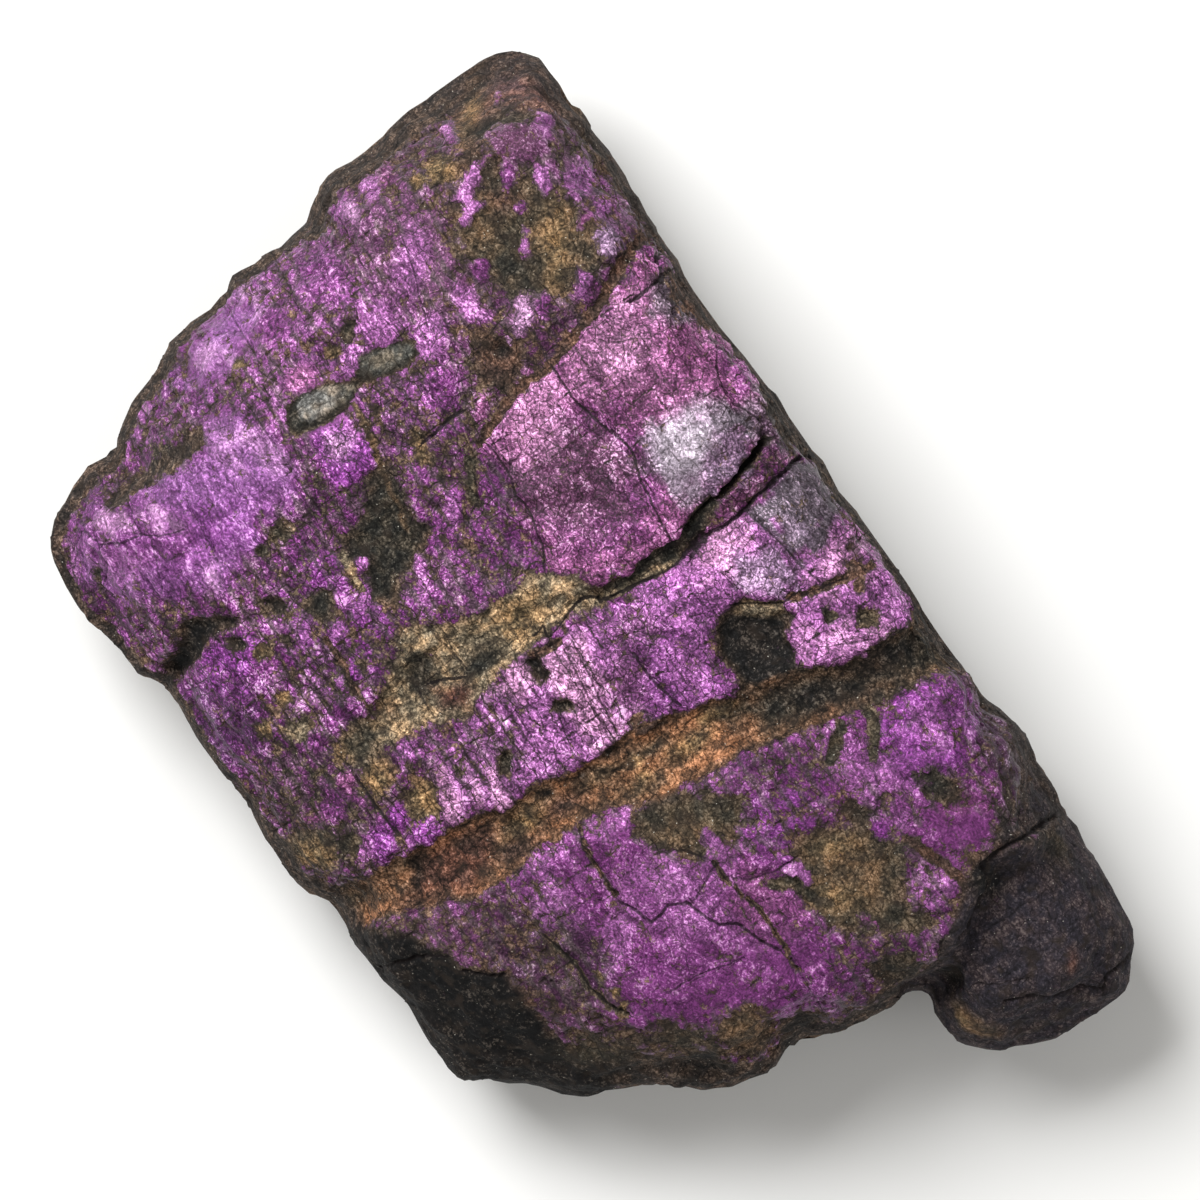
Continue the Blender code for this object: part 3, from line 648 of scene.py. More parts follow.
GROUND_PATCHES = [
    ("liver", 0.05, 30, [(460, 90), (515, 56), (546, 70), (572, 112), (560, 120), (535, 100), (500, 100),
        (470, 125)]),
    ("olive", 0.10, 20, [(487, 175), (500, 178), (530, 185), (545, 200), (575, 205), (590, 225),
        (598, 250), (590, 270), (575, 268), (560, 285), (530, 292), (510, 285), (480, 262), (462, 250),
        (462, 235), (485, 215), (490, 200)]),
    ("earth", 0.08, 20, (556, 236, 30, 34, 20)), ("ochre", 0.05, 16, (554, 246, 11, 30, 0)),
    ("earth", 0.08, 14, (484, 224, 15, 24, 10)),
    ("umber", 0.08, 12, (505, 200, 16, 10, 0)), ("moss", 0.10, 12, (522, 268, 22, 12, 10)),
    ("umber", 0.10, 12, (476, 120, 12, 30, 10)),
    ("ochre", 0.00, 10, (471, 105, 7, 26, 12)),
    ("moss", 0.10, 9, [(473, 142), (470, 128), (500, 114), (532, 114), (530, 122), (500, 126),
        (482, 138)]),
    ("ochre", 0.00, 8, (440, 170, 13, 11, 0)), ("ochre", 0.00, 7, (418, 182, 7, 6, 0)),
    ("umber", 0.15, 12, [(477, 352), (490, 342), (518, 345), (520, 372), (500, 384), (480, 378)]),
    ("soot", 0.60, 7, (500, 352, 9, 7, 0)),
    ("umber", 0.10, 8, [(668, 274), (688, 286), (712, 320), (703, 328), (686, 314), (672, 296)]),
    ("olive", 0.10, 6, (346, 331, 5, 9, 10)), ("ochre", 0.00, 6, (333, 353, 7, 5, 0)),
    ("ochre", 0.00, 6, (238, 365, 6, 5, 0)),
    ("moss", 0.05, 2, [(358, 355), (375, 349), (400, 341), (415, 341), (419, 352), (410, 364), (396, 371),
        (375, 379), (361, 383), (354, 374)]),
    ("ash", -0.20, 2, [(361, 357), (380, 350), (402, 343), (415, 345), (412, 357), (396, 367), (376, 374),
        (361, 376)]),
    ("moss", 0.10, 5, (354, 384, 6, 6, 0)),
    ("moss", 0.05, 2, [(287, 406), (300, 394), (318, 387), (336, 382), (352, 384), (357, 392), (347, 406),
        (332, 419), (314, 430), (300, 435), (288, 428)]),
    ("bone", -0.30, 2, [(297, 404), (303, 397), (334, 385), (342, 394), (332, 411), (312, 421),
        (300, 419)]),
    ("ash", -0.25, 2, [(334, 385), (352, 386), (354, 392), (344, 404), (332, 411), (342, 394)]),
    ("moss", 0.25, 10, [(372, 475), (385, 470), (395, 480), (400, 500), (410, 520), (425, 530),
        (415, 560), (400, 575), (390, 600), (372, 600), (365, 580), (370, 560), (348, 560), (348, 540),
        (365, 520), (372, 500)]),
    ("ochre", 0.00, 7, (420, 447, 5, 12, -20)),
    ("skin", 0.30, 12, [(196, 426), (202, 438), (180, 462), (152, 478), (128, 494), (108, 508),
        (104, 496), (125, 480), (150, 462), (175, 446)]),
    ("skin", 0.15, 4, [(94, 570), (99, 568), (103, 588), (98, 590)]),
    ("olive", 0.20, 7, (278, 534, 9, 12, 20)),
    ("olive", 0.15, 5, (262, 552, 6, 5, 0)),
    ("soot", 0.50, 7, [(162, 672), (172, 658), (182, 642), (182, 628), (195, 622), (215, 619), (238, 621),
        (233, 627), (214, 631), (203, 645), (193, 664), (180, 676), (168, 684)]),
    ("soot", 0.50, 7, (276, 605, 10, 6, 0)), ("soot", 0.40, 6, (236, 643, 8, 6, 0)),
    ("moss", 0.20, 8, (322, 606, 13, 15, 0)),
    ("ochre", 0.00, 8, (265, 730, 8, 7, 0)), ("sand", -0.05, 8, (298, 729, 12, 9, 0)),
    ("ochre", 0.00, 7, (283, 697, 6, 6, 0)),
    ("ochre", 0.00, 7, (262, 652, 7, 6, 0)), ("ochre", 0.00, 10, (348, 750, 11, 7, -30)),
    ("ochre", 0.05, 12, (376, 778, 13, 15, 0)),
    ("ochre", 0.05, 12, (424, 800, 14, 20, 0)), ("olive", 0.05, 12, (308, 845, 22, 14, 0)),
    ("ochre", 0.05, 10, (315, 855, 16, 8, 20)),
    ("olive", 0.05, 10, (354, 847, 12, 8, 0)),
    ("olive", 0.25, 12, [(345, 735), (375, 720), (388, 735), (365, 762), (345, 752)]),
    ("sand", 0.15, 7, BEIGE_VEIN),
    ("moss", 0.20, 14, [(405, 640), (436, 636), (440, 680), (425, 705), (404, 690)]),
    ("sand", 0.05, 12, (420, 642, 16, 12, 0)), ("ochre", 0.10, 14, (520, 618, 30, 18, -35)),
    ("moss", 0.25, 12, (478, 662, 26, 14, -35)),
    ("brick", 0.25, 10, [(432, 688), (462, 680), (474, 690), (466, 708), (440, 712)]),
    ("sand", 0.10, 10, (392, 722, 14, 12, -30)),
    ("earth", 0.10, 10, (390, 712, 9, 10, 0)),
    ("soot", 0.70, 7, [(524, 660), (535, 655), (541, 668), (548, 678), (540, 686), (530, 676)]),
    ("soot", 0.50, 6, [(552, 700), (572, 702), (578, 708), (566, 713), (553, 710)]),
    ("moss", 0.50, 8, (508, 764, 11, 12, 0)),
    ("soot", 0.60, 10, [(722, 625), (733, 610), (745, 604), (780, 606), (790, 618), (784, 632),
        (792, 648), (798, 672), (790, 692), (748, 694), (738, 672), (722, 660)]),
    ("sand", 0.10, 8, [(740, 612), (750, 604), (780, 606), (777, 617), (758, 616)]),
    ("olive", 0.45, 5, [(825, 610), (842, 616), (827, 624)]),
    ("olive", 0.55, 5, [(858, 607), (866, 611), (881, 608), (877, 628), (858, 627)]),
    ("umber", 0.20, 6, (856, 563, 9, 5, 0)),
    ("umber", 0.20, 6, (862, 583, 5, 9, 10)), ("umber", 0.20, 6, (853, 545, 4, 6, 0)),
    ("rust", 0.30, 8, RUST_VEIN),
    ("brick", 0.30, 16, [(400, 866), (470, 832), (512, 834), (492, 866), (470, 892), (400, 902)]),
    ("earth", 0.35, 14, [(500, 815), (545, 790), (560, 800), (520, 845), (492, 872)]),
    ("olive", 0.40, 16, [(300, 900), (377, 882), (402, 858), (418, 866), (404, 890), (360, 905),
        (330, 950)]),
    ("rust", 0.30, 10, (392, 884, 16, 6, -25)), ("soot", 0.55, 7, (416, 876, 4, 20, 5)),
    ("umber", 0.38, 8, (562, 806, 26, 8, -30)),
    ("umber", 0.36, 8, (512, 852, 24, 7, -30)), ("earth", 0.24, 8, (600, 778, 26, 9, -25)),
    ("olive", 0.36, 7, (648, 752, 24, 6, -28)),
    ("ochre", 0.22, 6, (528, 822, 14, 6, -30)), ("earth", 0.30, 9, (640, 786, 26, 9, -25)),
    # Black crumbs and painted shadow along the rusty vein's upper edge.
    ("soot", 0.50, 5, (583, 780, 9, 5, -30)),
    ("soot", 0.50, 5, (548, 796, 7, 5, -30)), ("soot", 0.50, 4, (662, 728, 12, 4, -15)),
    ("soot", 0.50, 4, (610, 756, 12, 4, -35)),
    ("brick", 0.30, 6, (455, 872, 22, 8, -20)), ("umber", 0.40, 5, (470, 840, 18, 5, -25)),
    ("olive", 0.45, 16, [(752, 695), (800, 678), (875, 668), (882, 652), (925, 615), (985, 650),
        (880, 690), (812, 720), (760, 735)]),
    ("soot", 0.52, 20, (815, 697, 60, 15, -14)), ("soot", 0.50, 14, (900, 655, 40, 14, -25)),
    ("olive", 0.35, 10, [(705, 712), (745, 704), (760, 712), (735, 724), (700, 728)]),
    ("ochre", 0.15, 5, [(697, 722), (715, 708), (738, 704), (730, 712), (705, 726)]),
    ("rust", 0.20, 7, (714, 734, 9, 6, -20)),
    ("ochre", 0.20, 8, (690, 745, 22, 8, -30)), ("ochre", 0.20, 6, (637, 762, 5, 5, 0)),
    ("ochre", 0.20, 6, (643, 776, 6, 4, 0)),
    ("rust", 0.20, 6, (830, 712, 8, 3, -25)),
    ("olive", 0.20, 14, [(633, 812), (655, 802), (700, 795), (740, 800), (746, 818), (720, 840),
        (704, 858), (684, 852), (659, 852), (640, 835)]),
    ("earth", 0.10, 12, (690, 835, 28, 12, 10)),
    ("olive", 0.25, 16, [(800, 850), (812, 836), (850, 828), (890, 836), (905, 862), (900, 900),
        (930, 925), (870, 935), (830, 925), (808, 900)]),
    ("earth", 0.15, 14, [(812, 856), (845, 838), (880, 845), (888, 872), (880, 905), (845, 912),
        (818, 896)]),
    ("ochre", 0.10, 14, (832, 848, 14, 7, 0)), ("ochre", 0.10, 14, (835, 898, 18, 8, 0)),
    ("moss", 0.15, 12, (940, 785, 16, 12, 20)),
    # The lower-left broken face: its own dark colour and painted shade, as it faces away from the light.
    ("moss", 0.15, 10, (860, 815, 12, 8, 20)), ("facet", 0.00, 7, LOWER_LEFT_FACE),
    ("slab", 0.00, 8, DARK_BLOCK),
    ("slab", 0.05, 26, [(1030, 790), (1050, 780), (1085, 840), (1060, 850), (1030, 832), (1000, 846),
        (1010, 820)]),
    # The soot oval at the dark block's upper-left corner is painted shadow in the notch.
    ("olive", 0.00, 20, (1062, 842, 20, 14, 40)), ("soot", 0.00, 14, (986, 880, 18, 16, 30)),
    ("slab", 0.00, 12, [(1008, 708), (1034, 742), (1066, 815), (1040, 808), (1018, 762)]),
    ("ochre", -0.05, 9, [(941, 996), (955, 1005), (972, 1020), (990, 1034), (980, 1042), (958, 1022)]),
    ("earth", 0.00, 12, (982, 1034, 20, 9, 10)),
    ("brick", 0.00, 8, (1072, 962, 3, 5, 0)),
    # Painted shadow in the notch beside the dark block.
    ("soot", 0.90, 8, [(902, 985), (930, 976), (957, 970), (960, 985), (930, 1002), (905, 998)]),
    ("soot", 0.30, 12, [(784, 1024), (800, 1015), (820, 1018), (815, 1045), (785, 1050)]),
    ("soot", 0.40, 12, [(674, 1066), (690, 1052), (720, 1054), (722, 1080), (690, 1095)]),
    ("moss", 0.10, 16, (893, 968, 16, 12, 0)), ("olive", 0.05, 22, (608, 1056, 34, 14, 0)),
    ("olive", 0.10, 14, (685, 1040, 24, 9, 10)),
    ("earth", 0.10, 16, (745, 1030, 24, 20, 0)), ("ochre", -0.10, 5, (614, 991, 5, 5, 0)),
    ("ochre", -0.05, 4, (603, 976, 3, 4, 0)),
    ("ochre", -0.05, 5, (622, 1010, 4, 6, 0)),
]
EDGE_SPREAD, GROUND_SHARE = 2.0, 0.95
OLIVE_MEAN, OLIVE_WAVER = 0.5, (0.5, 60.0, 3.3)

ground = np.tile(linear(GROUND_COLOURS["umber"]), (len(points), 1))
brush(ground, GROUND_COLOURS["olive"], OLIVE_MEAN + waver(loose, *OLIVE_WAVER)[:, 0])
sink = np.zeros(len(points))


def lay_ground(colour, depth, mask):
    """Covers the masked points with matrix of one colour, sunk to one depth."""
    brush(ground, GROUND_COLOURS[colour], mask)
    share[:] += (GROUND_SHARE - share) * mask
    sink[:] += (depth - sink) * mask


for colour, depth, soft, shape in GROUND_PATCHES:
    lay_ground(colour, depth, mask_of(close, shape, EDGE_SPREAD * soft))
print("ground patches:", len(GROUND_PATCHES))

# %% [markdown]
# ## Lozenges
# In the dark parts the cleavage leaves bright lozenges of purple, each with its own
# brightness, that stand a little proud of the matrix round them. Each has a colour, how far
# it stands proud in millimetres, its edge and its shape.

# %% Lozenges of foil
LOZENGES = [
    ("lilac", 0.10, 5, (450, 132, 7, 7, 0)), ("lilac", 0.05, 6, (541, 125, 10, 11, 0)),
    ("mauve", 0.05, 6, (567, 122, 5, 5, 0)),
    ("mauve", 0.05, 12, (515, 142, 28, 14, 0)),
    ("lilac", 0.12, 4, [(475, 158), (484, 165), (482, 172), (470, 190), (476, 198), (486, 205),
        (482, 213), (462, 228), (455, 224), (462, 205), (455, 195), (463, 175)]),
    ("purple", 0.10, 5, (506, 180, 7, 13, 10)),
    ("lilac", 0.10, 4, [(540, 160), (549, 165), (550, 178), (555, 190), (548, 197), (541, 183),
        (532, 175)]),
    ("lilac", 0.05, 8, (577, 183, 14, 14, 0)), ("purple", 0.10, 5, (521, 207, 8, 10, 0)),
    ("lilac", 0.15, 4, (525, 243, 6, 14, 10)),
    ("lilac", 0.10, 6, (604, 207, 8, 10, 0)), ("rose", 0.05, 6, (585, 217, 7, 9, 0)),
    ("lavender", 0.15, 8, (608, 240, 14, 18, 0)),
    ("purple", 0.10, 5, (481, 268, 11, 13, 0)),
    ("lilac", 0.10, 5, [(452, 283), (470, 288), (475, 300), (495, 310), (492, 322), (470, 325),
        (455, 308)]),
    ("pale", 0.15, 5, (522, 315, 10, 20, 15)), ("pale", 0.10, 4, (512, 342, 5, 7, 0)),
    ("purple", 0.10, 4, (544, 307, 7, 12, 15)),
    ("lilac", 0.10, 4, [(578, 268), (590, 280), (583, 305), (575, 295)]),
    ("lilac", 0.15, 7, (410, 262, 15, 37, 8)),
    ("lilac", 0.12, 6, (433, 337, 15, 25, 10)), ("purple", 0.12, 6, (441, 388, 16, 23, 10)),
    ("lilac", 0.12, 6, [(360, 310), (385, 300), (400, 320), (405, 330), (395, 340), (370, 345),
        (355, 335)]),
    ("purple", 0.10, 7, (325, 277, 20, 22, 0)), ("purple", 0.10, 6, (276, 328, 14, 17, 20)),
    ("lilac", 0.10, 5, (351, 363, 10, 16, 10)),
    ("rose", 0.10, 6, (302, 380, 18, 12, -20)), ("lilac", 0.08, 6, (345, 210, 9, 12, 0)),
    ("lilac", 0.08, 6, (372, 190, 9, 12, 0)),
    ("rose", 0.08, 5, (385, 175, 6, 8, 0)), ("pale", 0.08, 4, (353, 212, 5, 6, 0)),
    ("rose", 0.08, 4, (484, 406, 6, 16, 10)),
    ("blush", 0.00, 4, (529, 78, 3, 12, -20)), ("rose", 0.00, 4, (502, 98, 4, 8, 0)),
    ("vivid", 0.15, 5, [(310, 440), (320, 430), (345, 420), (355, 450), (360, 435), (368, 440),
        (374, 455), (372, 470), (365, 478), (355, 485), (335, 487), (325, 478)]),
    ("pale", 0.15, 10, (338, 445, 12, 12, 0)), ("lilac", 0.08, 4, (360, 566, 8, 8, 0)),
    ("purple", 0.08, 4, (436, 535, 5, 12, 0)),
    ("lilac", 0.10, 5, (421, 578, 6, 25, -5)), ("lilac", 0.08, 5, (455, 515, 7, 15, 0)),
    ("lilac", 0.08, 5, (340, 600, 8, 9, 0)),
    ("lilac", 0.08, 5, (362, 598, 9, 16, 15)), ("lilac", 0.08, 5, (336, 632, 8, 12, 20)),
    ("lilac", 0.08, 5, (306, 634, 6, 14, 10)),
    ("purple", 0.08, 5, (343, 716, 22, 7, -30)), ("purple", 0.08, 6, (316, 742, 10, 9, 0)),
    ("lilac", 0.08, 5, (404, 755, 8, 12, 20)),
    ("rose", 0.08, 5, (348, 780, 8, 12, 20)),
    ("vivid", 0.10, 5, [(385, 815), (400, 805), (408, 815), (402, 832), (392, 830)]),
    ("vivid", 0.10, 6, (382, 845, 15, 20, -20)), ("lilac", 0.10, 5, (362, 852, 8, 14, 15)),
    ("vivid", 0.10, 5, (424, 832, 18, 10, -20)),
    ("lilac", 0.08, 4, (410, 846, 5, 9, 10)), ("purple", 0.08, 7, (335, 808, 12, 16, 0)),
    ("rose", 0.08, 4, (315, 820, 8, 4, 0)),
    ("blush", 0.15, 5, [(437, 764), (444, 764), (450, 785), (462, 800), (462, 822), (444, 816),
        (436, 796)]),
    ("blush", 0.15, 4, [(466, 780), (474, 782), (484, 806), (480, 814), (470, 800)]),
    ("blush", 0.12, 4, [(484, 772), (494, 768), (500, 790), (512, 806), (500, 815), (490, 800)]),
    ("lilac", 0.10, 4, (518, 776, 6, 18, -10)), ("lilac", 0.08, 5, (865, 556, 6, 7, 0)),
    ("lilac", 0.10, 7, (800, 878, 12, 11, 0)),
    ("pale", 0.05, 3, (790, 873, 3, 3, 0)), ("lilac", 0.08, 4, (818, 905, 4, 9, -40)),
    ("rose", 0.05, 5, (865, 918, 12, 6, 30)),
    ("lilac", 0.05, 6, (712, 845, 8, 14, -30)), ("lilac", 0.08, 5, (950, 880, 10, 10, 0)),
    ("lilac", 0.10, 6, (900, 820, 10, 8, 0)),
    ("vivid", 0.05, 8, (880, 832, 10, 12, 0)),
]
LOZENGE_SPREAD, LOZENGE_STRENGTH, LOZENGE_SHARE = 2.4, 0.8, 0.02

for colour, lift, soft, shape in LOZENGES:
    mask = mask_of(loose, shape, LOZENGE_SPREAD * soft)
    brush(foil, FOIL_COLOURS[colour], LOZENGE_STRENGTH * mask)
    share += (LOZENGE_SHARE - share) * mask
    sink += (-lift - sink) * mask
print("lozenges:", len(LOZENGES))

# %% [markdown]
# ## Narrow veins
# A narrow vein is a band of ground along a line: its colour, half its width, how far it
# sinks, and the places that it passes.

# %% Narrow veins
NARROW_VEINS = [
    ("umber", 4, 0.20, [(655, 232), (640, 238), (600, 302), (580, 327), (560, 351), (545, 369),
        (520, 386), (505, 406), (490, 426), (480, 442)]),
    ("olive", 5, 0.15, [(470, 460), (472, 500)]),
    ("olive", 6, 0.30, [(603, 597), (625, 584), (650, 571), (675, 556), (700, 534)]),
    ("moss", 8, 0.45, [(646, 570), (668, 556), (688, 540), (700, 520), (712, 505)]),
    # Painted shadow: the soot band below the silver bulge's edge.
    ("soot", 3.2, 0.60, [(770, 438), (748, 466), (732, 486), (714, 503), (700, 518)]),
    ("sand", 2, 0.15, [(600, 600), (625, 588), (650, 575), (672, 562)]),
    ("earth", 2.5, 0.10, [(352, 405), (365, 425), (375, 450), (385, 480), (400, 510), (405, 530)]),
    ("sand", 3, 0.05, [(342, 555), (352, 572), (360, 588)]),
    ("umber", 4, 0.15, [(789, 597), (805, 594), (824, 587), (845, 578), (870, 567)]),
    ("umber", 1.6, 0.10, [(712, 862), (720, 873), (738, 893), (763, 913), (775, 930), (784, 946),
        (799, 972)]),
    ("olive", 2, 0.10, [(553, 945), (576, 965), (590, 990), (606, 1004), (625, 1016)]),
    ("olive", 5, 0.20, [(830, 905), (815, 900), (795, 882), (776, 884)]),
    ("umber", 4, 0.10, [(905, 838), (925, 852), (945, 866), (962, 880)]),
    ("umber", 1.6, 0.10, [(578, 827), (590, 860), (614, 893)]),
    ("olive", 5, 0.10, [(840, 723), (836, 745), (829, 762)]),
    ("olive", 5, 0.10, [(868, 708), (874, 730), (872, 752)]),
    ("umber", 3, 0.10, [(326, 640), (345, 668), (356, 692)]),
    ("umber", 4, 0.10, [(560, 640), (545, 650), (530, 655)]),
    ("umber", 3, 0.05, [(640, 716), (632, 722), (640, 735), (655, 724)]),
]
VEIN_EDGE = (0.6, 1.4)

for colour, half_width, depth, line in NARROW_VEINS:
    gap, _ = line_gap(close, line)
    lay_ground(colour, depth, 1 - smooth_step(gap / half_width, *VEIN_EDGE))
print("narrow veins:", len(NARROW_VEINS))

# %% [markdown]
# ## Cracks
# A crack is thinner than a facet of the mesh, so painting it on the points would leave it
# dotted. Each point keeps its distance to the nearest crack instead, with a sign for the
# side it is on. The distance passes through zero between two points, so the material can
# draw a clean thin line. Each crack has a width in picture units, a depth in millimetres and
# the places that it passes.

# %% Cracks
CRACKS = [
    (5, 0.8, [(811, 456), (801, 456), (792, 464), (780, 477), (771, 486), (756, 497), (748, 508),
        (726, 526), (713, 534), (700, 548), (692, 557)]),
    # This wide crack is partly a real groove and partly the painted shadow below the silver bulge's edge.
    (7, 0.9, [(768, 441), (745, 470), (733, 485), (717, 501), (700, 518), (686, 534)]),
    (5, 0.6, [(655, 238), (657, 255), (661, 272), (662, 282)]),
    (5, 0.5, [(664, 275), (645, 291), (630, 301)]),
    (5, 0.5, [(422, 443), (436, 432), (450, 418), (462, 410)]),
    (3, 0.3, [(392, 430), (396, 440), (410, 445)]),
    (3, 0.42, [(487, 443), (500, 460), (510, 475), (515, 495), (525, 505), (535, 525), (542, 548),
        (544, 571)]),
    (2, 0.2, [(505, 440), (512, 470)]),
    (3, 0.42, [(550, 365), (560, 380), (575, 400), (590, 415), (605, 428), (622, 440), (632, 452),
        (640, 480), (655, 510), (670, 540)]),
    (2, 0.2, [(600, 400), (608, 418), (615, 430)]),
    (2.5, 0.3, [(712, 332), (717, 357), (722, 385), (734, 401), (761, 420)]),
    (2.5, 0.2, [(443, 313), (455, 350), (466, 405)]), (3, 0.3, [(475, 470), (477, 500), (467, 520)]),
    (3, 0.3, [(757, 521), (778, 540), (799, 564), (824, 585)]),
    (2.5, 0.3, [(782, 590), (800, 597), (824, 587), (848, 577)]),
    (2, 0.2, [(690, 590), (705, 605), (722, 620)]),
    (3, 0.4, [(733, 607), (760, 605), (783, 604), (800, 590)]),
    (2, 0.2, [(250, 408), (268, 436), (286, 464), (308, 494), (332, 528)]),
    (3, 0.3, [(313, 738), (349, 766), (372, 804), (400, 837)]), (3, 0.3, [(272, 832), (290, 822)]),
    (2.5, 0.3, [(427, 628), (445, 648), (464, 667)]),
    (2, 0.2, [(436, 627), (462, 655)]), (2, 0.2, [(499, 616), (521, 643)]),
    (2, 0.2, [(518, 586), (532, 597)]),
    (3, 0.3, [(417, 690), (425, 706), (437, 722)]), (3, 0.5, [(427, 684), (445, 677), (461, 675)]),
    (3.5, 0.6, [(531, 632), (543, 624), (547, 636), (560, 623), (569, 610), (585, 599), (601, 599)]),
    (3.5, 0.5, [(601, 603), (627, 590), (650, 578), (672, 567), (690, 552), (700, 545)]),
    (5, 0.6, [(686, 556), (696, 546), (704, 538)]),
    (2.5, 0.3, [(572, 640), (590, 678), (604, 708), (618, 736)]),
    (2.5, 0.3, [(566, 652), (582, 684), (597, 716), (612, 742)]),
    (2, 0.2, [(530, 655), (545, 690), (560, 720), (575, 760)]),
    (2, 0.2, [(505, 690), (520, 720), (545, 760), (560, 775)]),
    (2, 0.2, [(490, 700), (512, 735), (530, 760)]), (2, 0.2, [(537, 652), (556, 642), (572, 630)]),
    (4, 0.4, [(633, 654), (652, 680), (672, 700), (682, 706)]),
    (2, 0.3, [(578, 827), (583, 850), (600, 872), (614, 894)]),
    (3, 0.4, [(545, 935), (560, 950), (576, 968), (590, 990), (606, 1004), (629, 1016)]),
    (4, 0.4, [(619, 902), (638, 913), (650, 923)]),
    (4, 0.4, [(650, 923), (660, 916), (668, 906), (687, 903), (707, 918), (720, 925), (738, 925),
        (763, 943), (779, 951)]),
    (2, 0.25, [(712, 862), (720, 873), (738, 893), (763, 913), (784, 944), (799, 972), (819, 1003),
        (825, 1015), (837, 1028)]),
    (2.5, 0.3, [(714, 868), (704, 885), (694, 900)]),
    (3, 0.3, [(737, 877), (748, 880), (775, 871), (800, 855)]),
    (2, 0.3, [(745, 958), (727, 964), (700, 975), (669, 992)]),
    (3, 0.3, [(659, 853), (684, 852), (707, 860)]),
    (2.5, 0.2, [(875, 774), (878, 796), (875, 818)]), (2.5, 0.2, [(893, 795), (900, 820)]),
    (2, 0.2, [(830, 955), (836, 978)]),
    (2, 0.2, [(685, 955), (690, 975)]),
    (4, 0.5, [(379, 969), (395, 963), (407, 963), (425, 957), (447, 957)]),
    (4, 0.5, [(462, 972), (489, 977), (501, 975)]), (3, 0.3, [(400, 940), (413, 934)]),
    (5, 0.8, [(1054, 815), (1025, 836), (1002, 851), (984, 866)]),
    (4, 0.5, [(984, 866), (989, 884), (980, 906), (971, 928), (958, 938)]),
    (3, 0.4, [(1004, 1003), (1030, 997), (1055, 997), (1081, 989), (1100, 990)]),
    (3, 0.4, [(1131, 953), (1116, 968), (1108, 978), (1104, 992)]),
    (2, 0.3, [(1030, 978), (1000, 985), (975, 985)]),
    (2, 0.2, [(945, 935), (938, 960)]), (2.5, 0.3, [(455, 498), (463, 515), (467, 522)]),
    (2.5, 0.3, [(440, 500), (432, 515)]),
    (3, 0.3, [(840, 645), (856, 642), (872, 640)]), (2, 0.2, [(300, 430), (325, 422), (348, 408)]),
    (2, 0.25, [(404, 240), (414, 272), (420, 300), (429, 331)]),
    (2, 0.2, [(331, 198), (350, 236), (362, 262), (380, 295)]),
    (2, 0.2, [(271, 252), (290, 290), (306, 330), (325, 368)]),
    (2, 0.2, [(226, 300), (240, 330), (259, 362)]), (2, 0.2, [(352, 392), (372, 430), (392, 470)]),
    (2.5, 0.3, [(72, 552), (84, 530), (100, 544), (124, 543), (140, 534), (158, 537), (182, 530)]),
    (2, 0.25, [(127, 500), (133, 518), (140, 534)]), (2, 0.2, [(100, 544), (107, 566), (104, 592)]),
    (2, 0.2, [(150, 540), (157, 562), (162, 588)]),
    (2, 0.2, [(186, 500), (200, 530), (222, 570)]),
]
LONGEST_REACH, SEARCH_MARGIN = 4.0, 20
SHOULDER_START, SHOULDER_END = 2.5, 5

crack = np.full(len(points), LONGEST_REACH)
crack_depth = np.zeros(len(points))
for width, depth, line in CRACKS:
    near = near_to(cracked, line, SEARCH_MARGIN)
    gap, side = line_gap(cracked[near], line)
    signed = np.clip(gap * side / (width / 2), -LONGEST_REACH, LONGEST_REACH)
    nearer = np.abs(signed) < np.abs(crack[near])
    crack[near[nearer]] = signed[nearer]
    presence = 1 - smooth_step(gap, width / 2 + SHOULDER_START, width / 2 + SHOULDER_END)
    crack_depth[near] = np.maximum(crack_depth[near], depth * presence)
print("cracks:", len(CRACKS))

# %% [markdown]
# ## The rim and the walls
# Handling and weather have worn the rim and left a dull olive-brown skin on it. Its width is
# given at places round the outline and blended between them, and at the right end of the crest
# it is widened to paint the shadow there. The same skin covers the walls and the underside, with
# dark and earthy patches and a little foil where they meet. The two dark broken faces keep their
# colour down their walls, the lower-left one with its painted shade.

# %% The rim's skin
RIM_WIDTHS = [
    ((515, 55), 34), ((560, 95), 15), ((600, 145), 9), ((650, 222), 8), ((690, 292), 6), ((745, 365), 4),
    # At (788, 420) the band is widened to paint the shadow at the right end of the crest.
    ((788, 420), 18),
    ((820, 465), 6), ((870, 535), 8), ((930, 620), 10), ((970, 680), 6), ((1010, 720), 7),
    ((1040, 775), 12),
    ((1065, 820), 14), ((1110, 885), 24), ((1128, 970), 16), ((1060, 1030), 20), ((970, 1045), 12),
    ((915, 997), 20),
    ((830, 1032), 12), ((780, 1055), 12), ((700, 1090), 24), ((600, 1090), 30), ((500, 1080), 24),
    ((420, 1020), 16),
    ((340, 920), 16), ((280, 860), 14), ((220, 770), 9), ((160, 685), 8), ((90, 620), 7), ((55, 560), 7),
    ((56, 515), 12),
    ((100, 465), 16), ((130, 415), 9), ((165, 355), 12), ((215, 308), 6), ((265, 255), 8),
    ((315, 205), 18),
    ((360, 155), 22), ((420, 105), 24), ((470, 70), 34),
]
RIM_EDGE, LEAST_DISTANCE = (0.55, 1.25), 5
SKIN_STRENGTH, FACE_STRENGTH, FACE_EDGE = 0.85, 0.9, 20
WALL_PATCH, PATCH_EDGE, SOOT_STRENGTH, EARTH_STRENGTH = 0.0042, (0.05, 0.35), 0.85, 0.65
LEAST_SHARE, WALL_FOIL, FOIL_EDGE = 0.84, 0.30, (0.12, 0.0)

